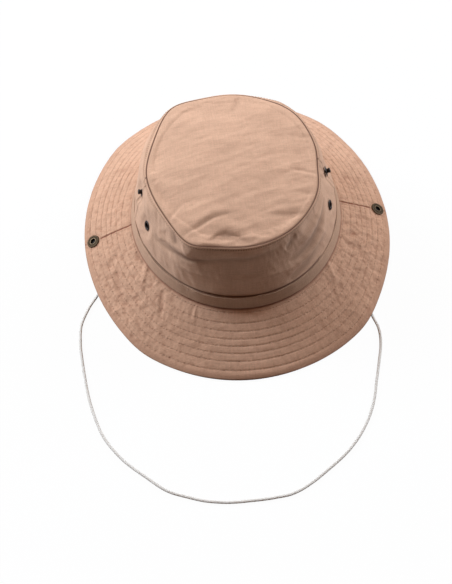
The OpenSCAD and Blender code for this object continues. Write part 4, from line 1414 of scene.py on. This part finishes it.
# ---------------------------------------------------------------- floor, in metres
def floor_material():
    """Grey to the light, near white to the camera."""
    material, graph, bsdf = new_material("pale_floor")
    graph.fill(bsdf, {"Base Color": (0.40, 0.40, 0.40), "Roughness": 0.9})
    glow = graph.add("ShaderNodeEmission", {"Color": (1, 1, 1), "Strength": 1.04})
    seen = graph.add("ShaderNodeLightPath").outputs["Is Camera Ray"]
    mix = graph.add("ShaderNodeMixShader", {0: graph.times(seen, 0.93), 1: bsdf.outputs[0],
                                            2: glow.outputs[0]})
    graph.fill(graph.tree.nodes["Material Output"], {"Surface": mix.outputs[0]})
    return material


FLOOR_HALF, FLOOR_Z = 6, -0.0002
scene = bpy.context.scene
mesh = bpy.data.meshes.new("floor")
mesh.from_pydata([(x * FLOOR_HALF, y * FLOOR_HALF, FLOOR_Z)
                  for x, y in ((-1, -1), (1, -1), (1, 1), (-1, 1))], [], [(0, 1, 2, 3)])
floor = bpy.data.objects.new("floor", mesh)
scene.collection.objects.link(floor)
mesh.materials.append(floor_material())


# ---------------------------------------------------------------- light
def light_world(world):
    """Soft studio: bright behind and at both sides, dim towards the viewer, white to see."""
    graph = Graph(world.node_tree)
    generated = graph.add("ShaderNodeTexCoord").outputs["Generated"]
    x, y, z = graph.add("ShaderNodeSeparateXYZ", {0: generated}).outputs
    behind = graph.times(y, 0.55)
    above = graph.times(graph.larger(z, 0.0), 0.15)
    beside = graph.times(graph.times(x, x), 0.25)
    strength = graph.plus(graph.plus(behind, graph.plus(above, beside)), 0.145)
    strength = graph.larger(strength, 0.03)
    seen = graph.add("ShaderNodeLightPath").outputs["Is Camera Ray"]
    depth = graph.plus(graph.times(y, 0.9), 0.45)
    depth = graph.smaller(graph.larger(depth, 0.0), 1.0)
    tint = graph.mix(depth, (1.0, 0.55, 0.36), (1.0, 0.73, 0.56))
    graph.fill(graph.tree.nodes["Background"], {
        "Strength": graph.larger(strength, seen),
        "Color": graph.mix(seen, tint, (1.0, 1.0, 1.0))})


def area_light(name, location, watts, target=(0, 0, 0.04), size=0.9, colour=(0.87, 1.03, 1.20)):
    light = bpy.data.lights.new(name, "AREA")
    light.shape = "DISK"
    light.size = size
    light.energy = watts
    light.color = colour
    ob = bpy.data.objects.new(name, light)
    ob.location = location
    aim = Vector(target) - Vector(location)
    ob.rotation_euler = aim.to_track_quat("-Z", "Y").to_euler()
    scene.collection.objects.link(ob)


world = bpy.data.worlds.new("studio")
scene.world = world
world.use_nodes = True
light_world(world)
area_light("key_left_back", location=(-1.32, 0.80, 1.0), watts=33.0)
area_light("fill_right_back", location=(1.38, 0.60, 0.84), watts=20.0)


# ---------------------------------------------------------------- camera
CAMERA_PLACE = (-0.07119, -0.72487, 0.97857)
YAW_COS, YAW_SIN = 0.996673, 0.0815              # turned a little to the right
PITCH_COS, PITCH_SIN = 0.561597, 0.827413        # looking down
ROLL_COS, ROLL_SIN = 0.998827, 0.0484137

lens = bpy.data.cameras.new("camera")
camera = bpy.data.objects.new("camera", lens)
scene.collection.objects.link(camera)
lens.sensor_width = 36.0
lens.lens = 83.43
lens.clip_start = 0.01
lens.clip_end = 50
level_right = Vector((YAW_COS, -YAW_SIN, 0.0))
level_ahead = Vector((YAW_SIN, YAW_COS, 0.0))
vertical = Vector((0, 0, 1))
ahead = PITCH_COS * level_ahead - PITCH_SIN * vertical
level_up = PITCH_SIN * level_ahead + PITCH_COS * vertical
camera_right = level_right * ROLL_COS - level_up * ROLL_SIN
camera_up = level_right * ROLL_SIN + level_up * ROLL_COS
pose = Matrix((camera_right, camera_up, -ahead)).transposed().to_4x4()
pose.translation = CAMERA_PLACE
camera.matrix_world = pose
scene.camera = camera
scene.view_settings.view_transform = "Standard"
